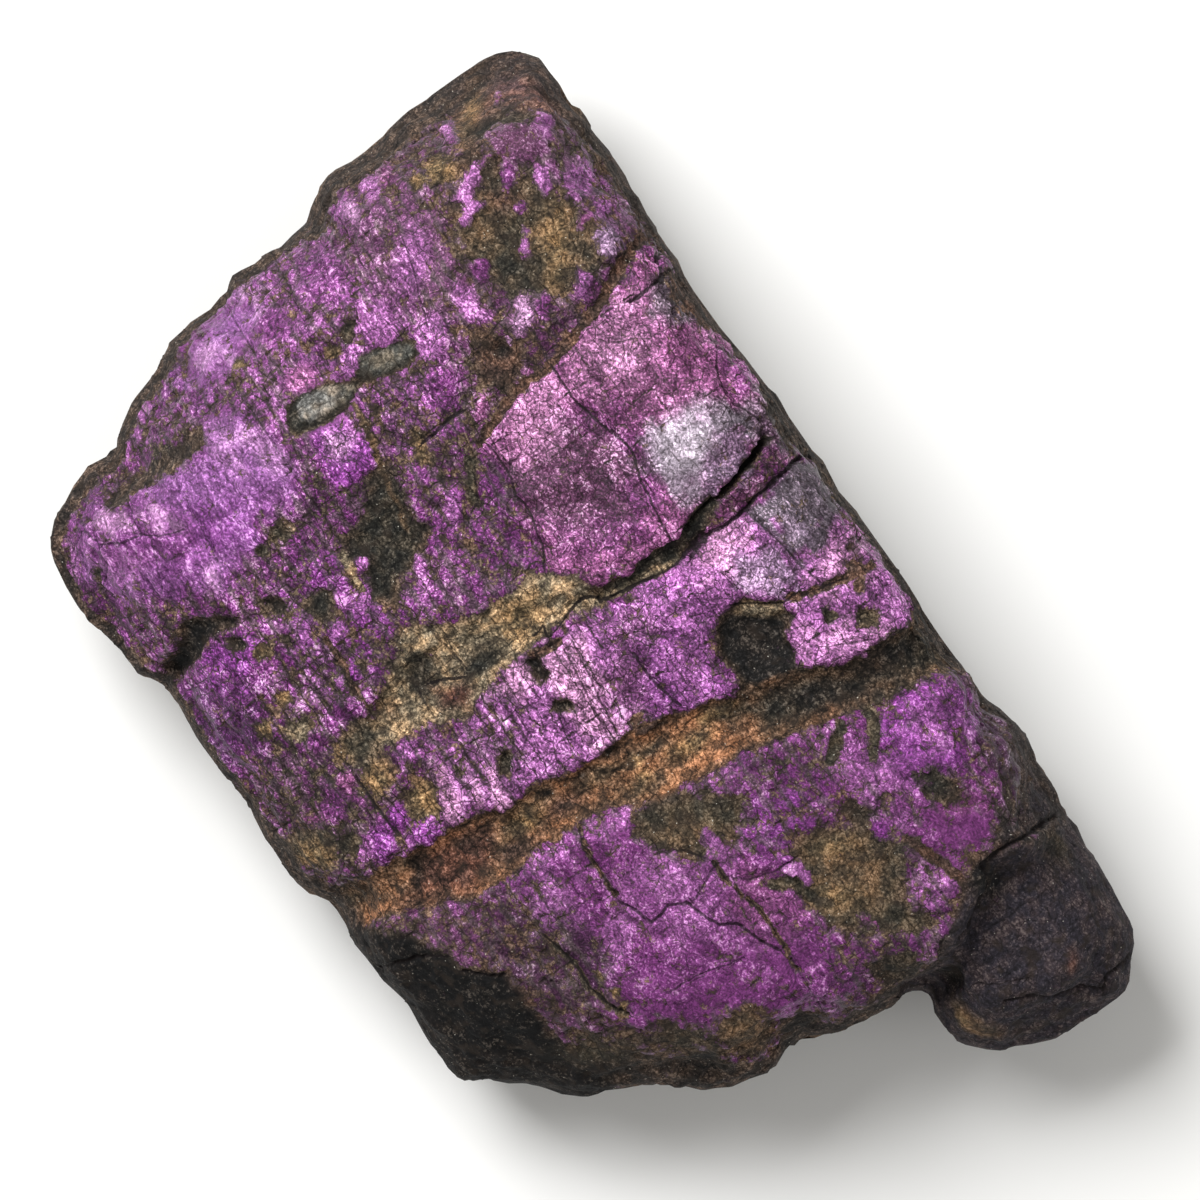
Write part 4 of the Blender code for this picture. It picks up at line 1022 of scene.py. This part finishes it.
edge_gap, _ = line_gap(seen, OUTLINE, closed=True)
spots = np.array([spot for spot, _ in RIM_WIDTHS], float)
widths = np.array([width for _, width in RIM_WIDTHS], float)
pull = 1 / (np.linalg.norm(seen[:, None] - spots[None], axis=2) + LEAST_DISTANCE) ** 3
rim_width = pull @ widths / pull.sum(axis=1)
wall = 1 - on_face
rim = np.maximum(1 - smooth_step(edge_gap / rim_width, *RIM_EDGE), wall)
brush(ground, GROUND_COLOURS["skin"], SKIN_STRENGTH * rim)
patchy = np.array([noise.noise(Vector(point)) for point in points / WALL_PATCH])
soot, earth = smooth_step(patchy, *PATCH_EDGE), smooth_step(-patchy, *PATCH_EDGE)
brush(ground, GROUND_COLOURS["soot"], SOOT_STRENGTH * wall * soot)
brush(ground, GROUND_COLOURS["earth"], EARTH_STRENGTH * wall * earth)
for colour, shape in ("slab", DARK_BLOCK), ("facet", LOWER_LEFT_FACE):
    brush(ground, GROUND_COLOURS[colour], FACE_STRENGTH * rim * mask_of(close, shape, FACE_EDGE))
least = LEAST_SHARE - WALL_FOIL * wall * smooth_step(np.abs(patchy), *FOIL_EDGE)
share = np.where(share < least, share + (least - share) * rim, share)
print("mean width of the rim's skin:", round(float(rim_width.mean()), 1), "picture units")

# %% [markdown]
# ## How sharp the grain is
# The satin crackle is crisp in the middle and calmer on the dark broken faces, the silver
# bulge and the lower right. Stripes run along the stone in one zone and across it on the
# left, as the cleavage does.

# %% Grain and stripes
GRAIN = [
    (0.75, 60, [(370, 925), (480, 895), (600, 810), (820, 720), (950, 660), (1040, 800), (950, 960),
        (800, 1040), (600, 1090), (450, 980)]),
    (0.55, 40, (700, 1000, 130, 50, -20)), (0.45, 24, (955, 835, 40, 30, -30)),
    (0.30, 16, LOWER_LEFT_FACE),
    (0.30, 16, DARK_BLOCK),
    (0.80, 60, [(100, 450), (200, 300), (330, 180), (460, 60), (560, 60), (650, 230), (480, 300),
        (330, 340), (280, 480), (120, 620)]),
    (0.62, 40, LEFT_ZONE), (0.45, 30, (220, 345, 50, 40, -40)),
    (0.60, 30, [(430, 100), (500, 55), (555, 60), (620, 180), (560, 150), (500, 150)]),
    (0.70, 20, [(650, 430), (690, 404), (720, 415), (700, 495), (670, 490)]),
    (0.75, 12, GREY_FACET),
    (0.50, 30, [(985, 700), (1030, 740), (1070, 820), (1040, 840), (1010, 800), (990, 750)]),
    (0.50, 8, (322, 408, 40, 24, -35)),
    (0.50, 8, (388, 361, 36, 18, -20)),
]
ALONG_STRIPES = [
    (1.0, 24, STRIPES),
    (0.9, 30, [(230, 640), (350, 640), (440, 760), (440, 830), (360, 860), (270, 800)]),
    (0.6, 40, [(520, 850), (600, 830), (620, 1000), (540, 960)]),
]
ACROSS_STRIPES = [
    (0.9, 60, [(60, 540), (170, 370), (300, 240), (420, 200), (440, 400), (330, 500), (300, 620),
        (100, 620)]),
    (0.8, 10, BEIGE_VEIN), (0.8, 20, RUST_VEIN),
    (0.9, 14, [(801, 462), (840, 498), (822, 545), (750, 508)]),
]
CALMER_WALL = 0.35

grain = layered(1.0, loose, GRAIN) * (1 - CALMER_WALL * (1 - on_face))
kept = {
    "foil": foil, "ground": ground, "share": share, "sink": sink, "crack": crack,
    "crack depth": crack_depth, "grain": grain, "along": layered(0.0, loose, ALONG_STRIPES),
    "across": layered(0.0, loose, ACROSS_STRIPES), "face": on_face,
}


def keep(mesh, name, values):
    """Stores one number, or one colour, for each point of the mesh."""
    if values.ndim == 2:
        layer = mesh.attributes.new(name, "FLOAT_COLOR", "POINT")
        layer.data.foreach_set("color", np.column_stack([values, np.ones(len(values))]).ravel())
    else:
        layer = mesh.attributes.new(name, "FLOAT", "POINT")
        layer.data.foreach_set("value", values.ravel())


for name, values in kept.items():
    keep(fine, name, values)
print("kept on the points:", list(kept))

# %% [markdown]
# ## A short way to write node trees
# Shape trees and materials are both made of nodes. Each call below adds one node, or a short
# chain of them, feeds the inputs with numbers or with other nodes' outputs, and returns one
# output.

# %% A writer of node trees
class Tree:
    def __init__(self, tree):
        self.tree = tree

    def add(self, kind, inputs=(), out=0, **settings):
        """Adds a node with these settings and inputs, and gives back one output."""
        node = self.tree.nodes.new(kind)
        for name, value in settings.items():
            setattr(node, name, value)
        for name, value in dict(inputs).items():
            if isinstance(value, bpy.types.NodeSocket):
                self.tree.links.new(value, node.inputs[name])
            else:
                node.inputs[name].default_value = value
        return node.outputs[out]

    def math(self, operation, *values, clamp=False):
        return self.add("ShaderNodeMath", dict(enumerate(values)), operation=operation,
                        use_clamp=clamp)

    def chain(self, operation, first, *others):
        """The same operation over and over, from the first value on."""
        for other in others:
            first = self.math(operation, first, other)
        return first

    def plus(self, *values):
        return self.chain("ADD", *values)

    def minus(self, *values):
        return self.chain("SUBTRACT", *values)

    def times(self, *values):
        return self.chain("MULTIPLY", *values)

    def centred(self, value, middle, factor=1.0):
        """A pattern as its distance from its middle, times a factor."""
        return self.times(self.minus(value, middle), factor)

    def vector(self, operation, *values, out=0):
        return self.add("ShaderNodeVectorMath", dict(enumerate(values)), out=out,
                        operation=operation)

    def scaled(self, vector, factor):
        return self.add("ShaderNodeVectorMath", {0: vector, "Scale": factor}, operation="SCALE")

    def parts(self, vector):
        """The X, Y and Z of a vector."""
        return self.add("ShaderNodeSeparateXYZ", {0: vector}).node.outputs

    def step(self, value, low, high, to_low=0.0, to_high=1.0):
        """A smooth step from one number to another as the value goes from low to high."""
        return self.add("ShaderNodeMapRange", {"Value": value, "From Min": low, "From Max": high,
                                               "To Min": to_low, "To Max": to_high},
                        interpolation_type="SMOOTHSTEP")

    def mix(self, factor, a, b):
        return self.add("ShaderNodeMix", {0: factor, 2: a, 3: b}, data_type="FLOAT")

    def blend(self, factor, a, b):
        return self.add("ShaderNodeMix", {0: factor, 6: a, 7: b}, out=2, data_type="RGBA")

    def noise(self, where, scale, detail=3.0, rough=0.55, out=0):
        return self.add("ShaderNodeTexNoise", {"Vector": where, "Scale": scale, "Detail": detail,
                                               "Roughness": rough}, out=out)

    def ridges(self, where, scale, detail, rough):
        """Thin bright threads, as the folds of a crumpled foil."""
        return self.add("ShaderNodeTexNoise", {"Vector": where, "Scale": scale, "Detail": detail,
                                               "Roughness": rough, "Offset": 1.0},
                        noise_type="RIDGED_MULTIFRACTAL")

    def cells(self, where, scale, out=0, **settings):
        return self.add("ShaderNodeTexVoronoi", {"Vector": where, "Scale": scale}, out=out,
                        **settings)

    def lines(self, along, scale):
        """Distance to the nearest of a row of unevenly spaced lines."""
        return self.add("ShaderNodeTexVoronoi", {"W": along, "Scale": scale},
                        feature="DISTANCE_TO_EDGE", voronoi_dimensions="1D")


print("tree writer ready")

# %% [markdown]
# ## Cleavage relief
# Purpurite splits along the stone and across it, so its face is a mosaic of small blocks
# with square corners. A Voronoi pattern in the Chebyshev metric gives such blocks. This
# tree lifts and drops them, opens the seams between them, sinks the matrix, cuts the
# cracks, and swells the face slightly. Walls are roughened, and below the widest level they
# are broken into planes, each leaning its own way. Smoothing drew the walls in a little, and
# wall fullness gives that back. The tree also stores where the matrix ended up, how high
# each block lies and a slow noise, because the finish uses them again.

# %% The relief tree's inputs
RELIEF_SIZES = {
    "Block length": 0.0021, "Block width": 0.0012, "Block step": 0.00028,
    "Seam depth": 0.00018, "Matrix depth": 0.00018, "Matrix roughness": 0.00030,
    "Ripple": 0.00013, "Crack depth": 0.00075, "Wall roughness": 0.00045,
    "Wall fullness": 0.00022, "Wall facets": 0.30, "Swell": 0.00045,
}

relief = bpy.data.node_groups.new("cleavage relief", "GeometryNodeTree")
relief.interface.new_socket("Geometry", in_out="INPUT", socket_type="NodeSocketGeometry")
for name, size in RELIEF_SIZES.items():
    socket = relief.interface.new_socket(name, in_out="INPUT", socket_type="NodeSocketFloat")
    socket.default_value = size
relief.interface.new_socket("Finish", in_out="INPUT", socket_type="NodeSocketMaterial")
relief.interface.new_socket("Geometry", in_out="OUTPUT", socket_type="NodeSocketGeometry")

t = Tree(relief)
entry = relief.nodes.new("NodeGroupInput").outputs
print("relief inputs:", [socket.name for socket in entry if socket.name])

# %% Cleavage blocks and matrix
HALF = (0.5, 0.5, 0.5)
BLOCK_BEND, BLOCK_BEND_SCALE = 0.0022, 420
SEAM_SHARE, SPECKLE_SCALE, SPECKLE_RANGE = 0.5, 900, (0.28, 0.72)
MATRIX_EDGE = (-0.06, 0.06)


def stored(name):
    return t.add("GeometryNodeInputNamedAttribute", {"Name": name}, data_type="FLOAT")


place = t.add("GeometryNodeInputPosition")
facing = t.add("GeometryNodeInputNormal")
slow = t.vector("SUBTRACT", t.noise(place, BLOCK_BEND_SCALE, 2.0, out=1), HALF)
shifted = t.vector("ADD", place, t.scaled(slow, BLOCK_BEND))
sizes = t.add("ShaderNodeCombineXYZ", {0: entry["Block length"], 1: entry["Block width"],
                                       2: entry["Block width"]})
blocks = t.vector("DIVIDE", shifted, sizes)
nearest = t.cells(blocks, 1.0, distance="CHEBYCHEV")
second = t.cells(blocks, 1.0, distance="CHEBYCHEV", feature="F2")
block = t.cells(blocks, 1.0, out=1, distance="CHEBYCHEV")
seam = t.minus(second, nearest)
speckle = t.step(t.noise(place, SPECKLE_SCALE, 4.0, 0.6), *SPECKLE_RANGE)
pattern = t.plus(t.times(t.math("MULTIPLY", seam, 1.5, clamp=True), SEAM_SHARE),
                 t.times(speckle, 1 - SEAM_SHARE))
cover = t.minus(stored("share"), pattern)
matrix = t.step(cover, *MATRIX_EDGE)
bare = t.minus(1.0, matrix)
on_top = stored("face")
print("block and matrix nodes:", len(relief.nodes))

# %% What sinks and what rises
SEAM_WIDTH, CRACK_LIPS = 0.12, (1.6, 0.2)
GRAVEL_SCALE, RIPPLE_SCALE, CHIP_SCALE, CHUNK_SCALE, SWELL_SCALE = 1500, 1300, 260, 170.0, 380
WALL_SLOPES, UNDERCUT_SLOPES = (0.8, 0.4), (-0.25, -0.55)
FOOT_LEVELS = (0.00005, 0.0012)


def roughness(scale, detail, rough, size, *masks, where=place):
    """A noise about zero, where the masks let it show, as large as one of the tree's sizes."""
    bumps = t.times(t.centred(t.noise(where, scale, detail, rough), 0.5), *masks)
    return t.times(bumps, t.times(entry[size], 2.0))


crack_notch = t.times(t.step(t.math("ABSOLUTE", stored("crack")), *CRACK_LIPS),
                      stored("crack depth"), entry["Crack depth"])
drop = t.plus(t.times(stored("sink"), MM),
              t.times(matrix, on_top, entry["Matrix depth"]),
              t.times(t.step(seam, SEAM_WIDTH, 0.0), entry["Seam depth"], bare),
              crack_notch)

tilt = t.minus(t.parts(block)[0], 0.5)
upward = t.parts(facing)[2]
chunk = t.cells(place, CHUNK_SCALE, out=1)
off_centre = t.vector("SUBTRACT", place, chunk.node.outputs["Position"])
lean = t.vector("DOT_PRODUCT", t.vector("SUBTRACT", chunk, HALF), off_centre, out=1)
rise = t.plus(
    t.times(tilt, entry["Block step"], bare),
    roughness(GRAVEL_SCALE, 4.0, 0.65, "Matrix roughness", matrix),
    roughness(RIPPLE_SCALE, 3.0, 0.6, "Ripple", stored("grain"), where=shifted),
    roughness(CHIP_SCALE, 5.0, 0.6, "Wall roughness", t.minus(1.0, on_top)),
    t.times(t.step(upward, *WALL_SLOPES), entry["Wall fullness"]),
    t.times(lean, entry["Wall facets"], t.step(upward, *UNDERCUT_SLOPES)),
    roughness(SWELL_SCALE, 2.0, 0.5, "Swell", on_top),
)
height = t.times(t.minus(rise, drop), t.step(t.parts(place)[2], *FOOT_LEVELS))
print("shape nodes:", len(relief.nodes))

# %% Move the points and store what the finish needs
CRUMPLE_SCALE = 900

crumple = t.vector("SUBTRACT", t.noise(place, CRUMPLE_SCALE, 2.0, 0.6, out=1), HALF)
moved = t.add("GeometryNodeSetPosition", {"Geometry": entry["Geometry"],
                                          "Offset": t.scaled(facing, height)})
for name, value, kind in (("cover", cover, "FLOAT"), ("block", tilt, "FLOAT"),
                          ("crumple", crumple, "FLOAT_VECTOR")):
    moved = t.add("GeometryNodeStoreNamedAttribute",
                  {"Geometry": moved, "Name": name, "Value": value}, data_type=kind)
moved = t.add("GeometryNodeSetShadeSmooth", {"Geometry": moved, "Shade Smooth": True})
moved = t.add("GeometryNodeRealizeInstances", {"Geometry": moved})
moved = t.add("GeometryNodeSetMaterial", {"Geometry": moved, "Material": entry["Finish"]})
relief.links.new(moved, relief.nodes.new("NodeGroupOutput").inputs["Geometry"])
print("relief tree:", len(relief.nodes), "nodes")

# %% [markdown]
# ## The finish of the stone
# Up close the satin is a crumpled foil. It is built from a few patterns in millimetres:
# grains a fifth of a millimetre wide, thin bright threads, dark creases between them, flakes,
# and in some zones longer strands, along the stone or in the satin's own direction.

# %% Patterns of the material
GRAINS, THREADS, THREAD_MEAN, FLAKES, CREASES, CREASE_MEAN = 5.5, 4.0, 1.1, 6.5, 2.3, 1.1
CREASE_RUN, ALONG_RUN, SATIN_RUN = (0.75, 1.2, 1.0), (0.4, 1.9, 1.5), (0.7, 4.6, 3.0)
SATIN_TURN = math.radians(46)
FOIL_BEND, EDGE_SCALE = 0.7, 3.2

finish = bpy.data.materials.new("purpurite")
finish.use_nodes = True
s = Tree(finish.node_tree)
shader = finish.node_tree.nodes["Principled BSDF"]


def painted(name, out=2):
    """What was kept on the points: out 0 is a colour, 1 a vector, 2 a number."""
    return s.add("ShaderNodeAttribute", out=out, attribute_name=name)


where = s.scaled(s.add("ShaderNodeTexCoord", out=3), 1 / MM)
crumple = painted("crumple", 1)
crumple_x, crumple_y, crumple_z = s.parts(crumple)
bent = s.vector("ADD", where, s.scaled(crumple, FOIL_BEND))
grains = s.noise(bent, GRAINS, 2.0, 0.75)
threads = s.ridges(bent, THREADS, 1.0, 0.8)
creases = s.ridges(s.vector("MULTIPLY", bent, CREASE_RUN), CREASES, 1.0, 0.8)
satin = s.add("ShaderNodeMapping", {"Vector": bent, "Rotation": (0, 0, -SATIN_TURN),
                                    "Scale": SATIN_RUN})
runs_across = s.math("GREATER_THAN", painted("across"), painted("along"))
run = s.blend(runs_across, s.vector("MULTIPLY", bent, ALONG_RUN), satin)
strands = s.noise(run, 1.0, 2.0, 0.6)
cell = s.cells(bent, FLAKES, out=1)
flake_distance, flake = cell.node.outputs[0], s.parts(cell)[0]
edge_noise = s.centred(s.noise(where, EDGE_SCALE, 3.0, 0.75), 0.5)
print("pattern nodes:", len(finish.node_tree.nodes))

# %% [markdown]
# ## Hair cracks
# The foil is crazed. Thin dark lines follow the two cleavages, unevenly spaced, and a web of
# straight-sided cells lies between them. Where there is more matrix, the long lines also paint
# shade on the sides of ribs. Hair cracks show on the face only.

# %% Thin dark lines of the material
LONG_LINES, SHORT_LINES, WEB = 0.85, 0.30, 1.25
LONG_WIDTH, SHORT_WIDTH, WEB_WIDTH = (0.065, 0.01), (0.035, 0.01), (0.07, 0.015)
RIB_WIDTH, RIB_SHARES = (0.26, 0.02), (0.08, 0.26)
LINE_JITTER, WEB_JITTER, MORE_IN_STRIPES = 0.5, 0.16, 0.12
LONG_SHOWN, SHORT_SHOWN, WEB_SHOWN = (-0.02, 0.12), (-0.02, 0.10), (0.14, 0.0, 0.0, 0.75)

place_x, place_y, _ = s.parts(where)
jitter = s.times(edge_noise, LINE_JITTER)
long_gap = s.lines(s.plus(place_y, crumple_x, jitter), LONG_LINES)
# Painted shade on the sides of ribs where there is more matrix.
painted_rib_shade = s.times(s.step(long_gap, *RIB_WIDTH), s.step(painted("share"), *RIB_SHARES))
long_shown = s.plus(crumple_z, s.times(painted("along"), MORE_IN_STRIPES))
long_line = s.times(s.step(long_gap, *LONG_WIDTH), s.step(long_shown, *LONG_SHOWN))
short_gap = s.lines(s.plus(place_x, crumple_y, jitter), SHORT_LINES)
short_line = s.times(s.step(short_gap, *SHORT_WIDTH), s.step(crumple_y, *SHORT_SHOWN))
web_gap = s.cells(where, WEB, feature="DISTANCE_TO_EDGE", voronoi_dimensions="2D")
web_gap = s.plus(web_gap, s.times(edge_noise, WEB_JITTER))
web = s.times(s.step(web_gap, *WEB_WIDTH), s.step(crumple_y, *WEB_SHOWN))
hair = s.times(s.chain("MAXIMUM", long_line, short_line, web), painted("face"))
print("with hair cracks:", len(finish.node_tree.nodes))

# %% [markdown]
# ## The foil's colour
# The patterns add up to one tone, and each step of tone doubles the light, as satin does. This
# is painted sheen: lit and shaded facets of the crumpled foil, tilted blocks lighter or darker
# and rib sides in shade. The brightest spots are painted highlights, almost white, and the gaps
# between flakes are painted plum shade. A film of grey-brown dust lies over the satin, thickest
# near the matrix and on the shaded rib sides.

# %% Colour of the foil
# SPARKLE is a painted highlight and GAP_PLUM painted shade.
SPARKLE, GAP_PLUM, HAIR_BROWN, DUST = (
    (*linear(colour), 1) for colour in ((232, 200, 230), (34, 18, 32), (40, 30, 30), (98, 86, 86))
)
SATIN_CONTRAST = 4.6
TONE = {"grains": 1.25, "threads": 0.20, "creases": 0.16, "strands": 1.3, "flakes": 0.34,
        "painted rib shade": 0.16, "crumple": 0.6, "blocks": 0.36}
SPARKLE_TONES, FLAKE_GAP = (0.18, 0.60, 0.0, 0.85), (0.45, 0.85, 0.0, 0.55)
DUST_SHARE = {"edge": 0.35, "cover": 0.5, "painted rib shade": 0.20}
LEAST_COVER, DUST_STEP = -0.30, (0.04, 0.26, 0.0, 0.62)

striped = s.math("MAXIMUM", painted("along"), painted("across"))
# Painted sheen: the tone lightens and darkens the foil as its lit and shaded facets would, with tilted
# blocks lighter or darker and rib sides in shade.
tone = s.plus(s.centred(grains, 0.5, TONE["grains"]),
              s.centred(threads, THREAD_MEAN, TONE["threads"]))
tone = s.minus(tone, s.centred(creases, CREASE_MEAN, TONE["creases"]))
tone = s.plus(tone, s.times(striped, s.centred(strands, 0.5, TONE["strands"])),
              s.centred(flake, 0.5, TONE["flakes"]))
tone = s.minus(tone, s.times(painted_rib_shade, TONE["painted rib shade"]))
tone = s.plus(tone, s.times(crumple_z, TONE["crumple"]), s.times(painted("block"), TONE["blocks"]))
light = s.math("POWER", 2.0, s.times(tone, s.times(painted("grain"), SATIN_CONTRAST)))
foil_colour = s.vector("MULTIPLY", painted("foil", 0), light)
# Painted highlights: the brightest tones turn almost white.
sparkle = s.times(s.step(tone, *SPARKLE_TONES), painted("grain"))
foil_colour = s.blend(sparkle, foil_colour, SPARKLE)
# Painted shade in the gaps between flakes.
gap = s.math("SUBTRACT", s.step(flake_distance, *FLAKE_GAP), sparkle, clamp=True)
foil_colour = s.blend(s.times(gap, painted("grain")), foil_colour, GAP_PLUM)
dust = s.plus(crumple_x, s.times(edge_noise, DUST_SHARE["edge"]),
              s.centred(painted("cover"), LEAST_COVER, DUST_SHARE["cover"]),
              s.times(painted_rib_shade, DUST_SHARE["painted rib shade"]))
dust = s.step(dust, *DUST_STEP)
foil_colour = s.blend(dust, foil_colour, s.vector("MULTIPLY", DUST[:3], light))
sharp = s.times(painted("grain"), painted("grain"))
foil_colour = s.blend(s.times(hair, sharp), foil_colour, HAIR_BROWN)
print("with the foil:", len(finish.node_tree.nodes))

# %% [markdown]
# ## The matrix's colour
# Matrix is a matt crumbly earth. It is lighter on its crumbs, and its lightest crumbs are painted
# pale as highlights. It is stained darker and warmer in patches, streaked along the veins, and
# has a few white specks painted bright as glints.

# %% Colour of the matrix
# GLINT and PALE_SOIL are painted highlights on specks and crumbs.
STAIN, GLINT, PALE_SOIL = (
    (*linear(colour), 1) for colour in ((44, 36, 30), (196, 192, 180), (124, 114, 104))
)
WARM, COOL = (1.14, 1.02, 0.90, 1), (0.88, 0.95, 1.02, 1)
VEIN_RUN = (2.4, 0.6, 2.0)
CALM_CONTRAST, CRUMB_CONTRAST = 2.0, 4.8
SOIL = {"grains": 1.2, "flakes": 0.35, "edge": 1.5, "crumple": 1.2, "hair": 0.40, "streaks": 1.3}
TINT_STEP, PALE_STEP, STAIN_STEP = (-0.12, 0.14), (0.10, 0.50, 0.0, 0.35), (-0.02, -0.16, 0.0, 0.6)
GLINT_SIZE, RARE = (0.30, 0.12), 0.985

soil = s.plus(s.centred(grains, 0.5, SOIL["grains"]), s.centred(flake, 0.5, SOIL["flakes"]),
              s.times(edge_noise, SOIL["edge"]), s.times(crumple_z, SOIL["crumple"]))
soil = s.minus(soil, s.times(hair, SOIL["hair"]))
streaks = s.noise(s.vector("MULTIPLY", bent, VEIN_RUN), 1.0, 3.0, 0.65)
soil = s.plus(soil, s.times(painted("across"), s.centred(streaks, 0.5, SOIL["streaks"])))
contrast = s.mix(painted("grain"), CALM_CONTRAST, CRUMB_CONTRAST)
soil_light = s.math("POWER", 2.0, s.times(soil, contrast))
tint = s.blend(s.step(crumple_z, *TINT_STEP), COOL, WARM)
ground_colour = s.vector("MULTIPLY", s.vector("MULTIPLY", painted("ground", 0), tint), soil_light)
# Painted highlights on the lightest crumbs.
ground_colour = s.blend(s.step(soil, *PALE_STEP), ground_colour, PALE_SOIL)
ground_colour = s.blend(s.step(crumple_y, *STAIN_STEP), ground_colour, STAIN)
# White specks painted bright as glints.
glint = s.times(s.step(flake_distance, *GLINT_SIZE), s.math("GREATER_THAN", flake, RARE))
ground_colour = s.blend(s.times(glint, painted("face")), ground_colour, GLINT)
print("with the matrix:", len(finish.node_tree.nodes))

# %% [markdown]
# ## Foil and matrix together
# Both are mixed where the relief tree stored the matrix, with finer noise at the edge so that
# it breaks up, and a dark line where they touch is painted as a contact shadow. The traced
# cracks are drawn last, darker where they are deeper, which paints shade into them. Foil is
# part metallic and smoother, and matrix is matt.

# %% Mix them and feed the shader
CRACK_BLACK = (*linear((22, 16, 17)), 1)
COVER_EDGE, CONTACT_MIDDLE, CONTACT_SHADOW_LINE = (-0.15, 0.12), -0.02, (0.10, 0.0, 0.0, 0.35)
EDGE_WANDER, FLAKE_WANDER, HAIR_WANDER, CRACK_WANDER = 1.1, 0.15, 0.15, 2.0
CRACK_WIDTH, CRACK_START, CRACK_DARKNESS = (1.15, 0.5), (0.02, 0.25), (0.15, 0.55, 0.6, 0.92)
FOIL_ROUGHNESS, GROUND_ROUGHNESS, FOIL_METALLIC, SPECULAR = 0.44, 0.86, 0.30, 0.22
BUMP_HEIGHT, BUMP_STRENGTH = 0.00010, 0.8

cover_here = s.plus(painted("cover"), s.times(edge_noise, EDGE_WANDER),
                    s.centred(flake, 0.5, FLAKE_WANDER), s.times(hair, HAIR_WANDER))
is_ground = s.step(cover_here, *COVER_EDGE)
# Painted contact shadow where foil and matrix meet.
painted_contact_shadow = s.step(s.math("ABSOLUTE", s.minus(cover_here, CONTACT_MIDDLE)), *CONTACT_SHADOW_LINE)
colour = s.blend(is_ground, foil_colour, ground_colour)
colour = s.blend(painted_contact_shadow, colour, HAIR_BROWN)
# Cracks in black, darker where deeper: their own dark colour and painted shade inside them.
line = s.plus(s.math("ABSOLUTE", painted("crack")), s.times(edge_noise, CRACK_WANDER))
line = s.times(s.step(line, *CRACK_WIDTH), s.step(painted("crack depth"), *CRACK_START),
               s.step(painted("crack depth"), *CRACK_DARKNESS))
colour = s.blend(line, colour, CRACK_BLACK)
rough = s.mix(is_ground, FOIL_ROUGHNESS, GROUND_ROUGHNESS)
metal = s.times(s.minus(1.0, is_ground), FOIL_METALLIC)
bump = s.add("ShaderNodeBump", {"Height": grains, "Strength": BUMP_STRENGTH,
                                "Distance": BUMP_HEIGHT})
shader.inputs["Specular IOR Level"].default_value = SPECULAR
for name, value in ("Base Color", colour), ("Roughness", rough), ("Metallic", metal), ("Normal", bump):
    finish.node_tree.links.new(value, shader.inputs[name])
print("material nodes:", len(finish.node_tree.nodes))

# %% Apply the relief
cleave = stone.modifiers.new("cleavage relief", "NODES")
cleave.node_group = relief
sockets = {item.name: item.identifier for item in relief.interface.items_tree
           if item.in_out == "INPUT"}
for name, size in RELIEF_SIZES.items():
    cleave[sockets[name]] = size
cleave[sockets["Finish"]] = finish
shaped = plain_mesh(stone)
stone.modifiers.clear()
stone.data = shaped
stone.name = shaped.name = "purpurite_stone"
print("relief done:", triangles_in(shaped), "triangles,", len(shaped.materials), "material")

# %% Hand the stone over
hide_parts(STONE)
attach(stone, "root")
places = three_numbers(shaped.vertices, "co") / MM
print("stone box in mm:", np.round(places.min(axis=0), 1), np.round(places.max(axis=0), 1))
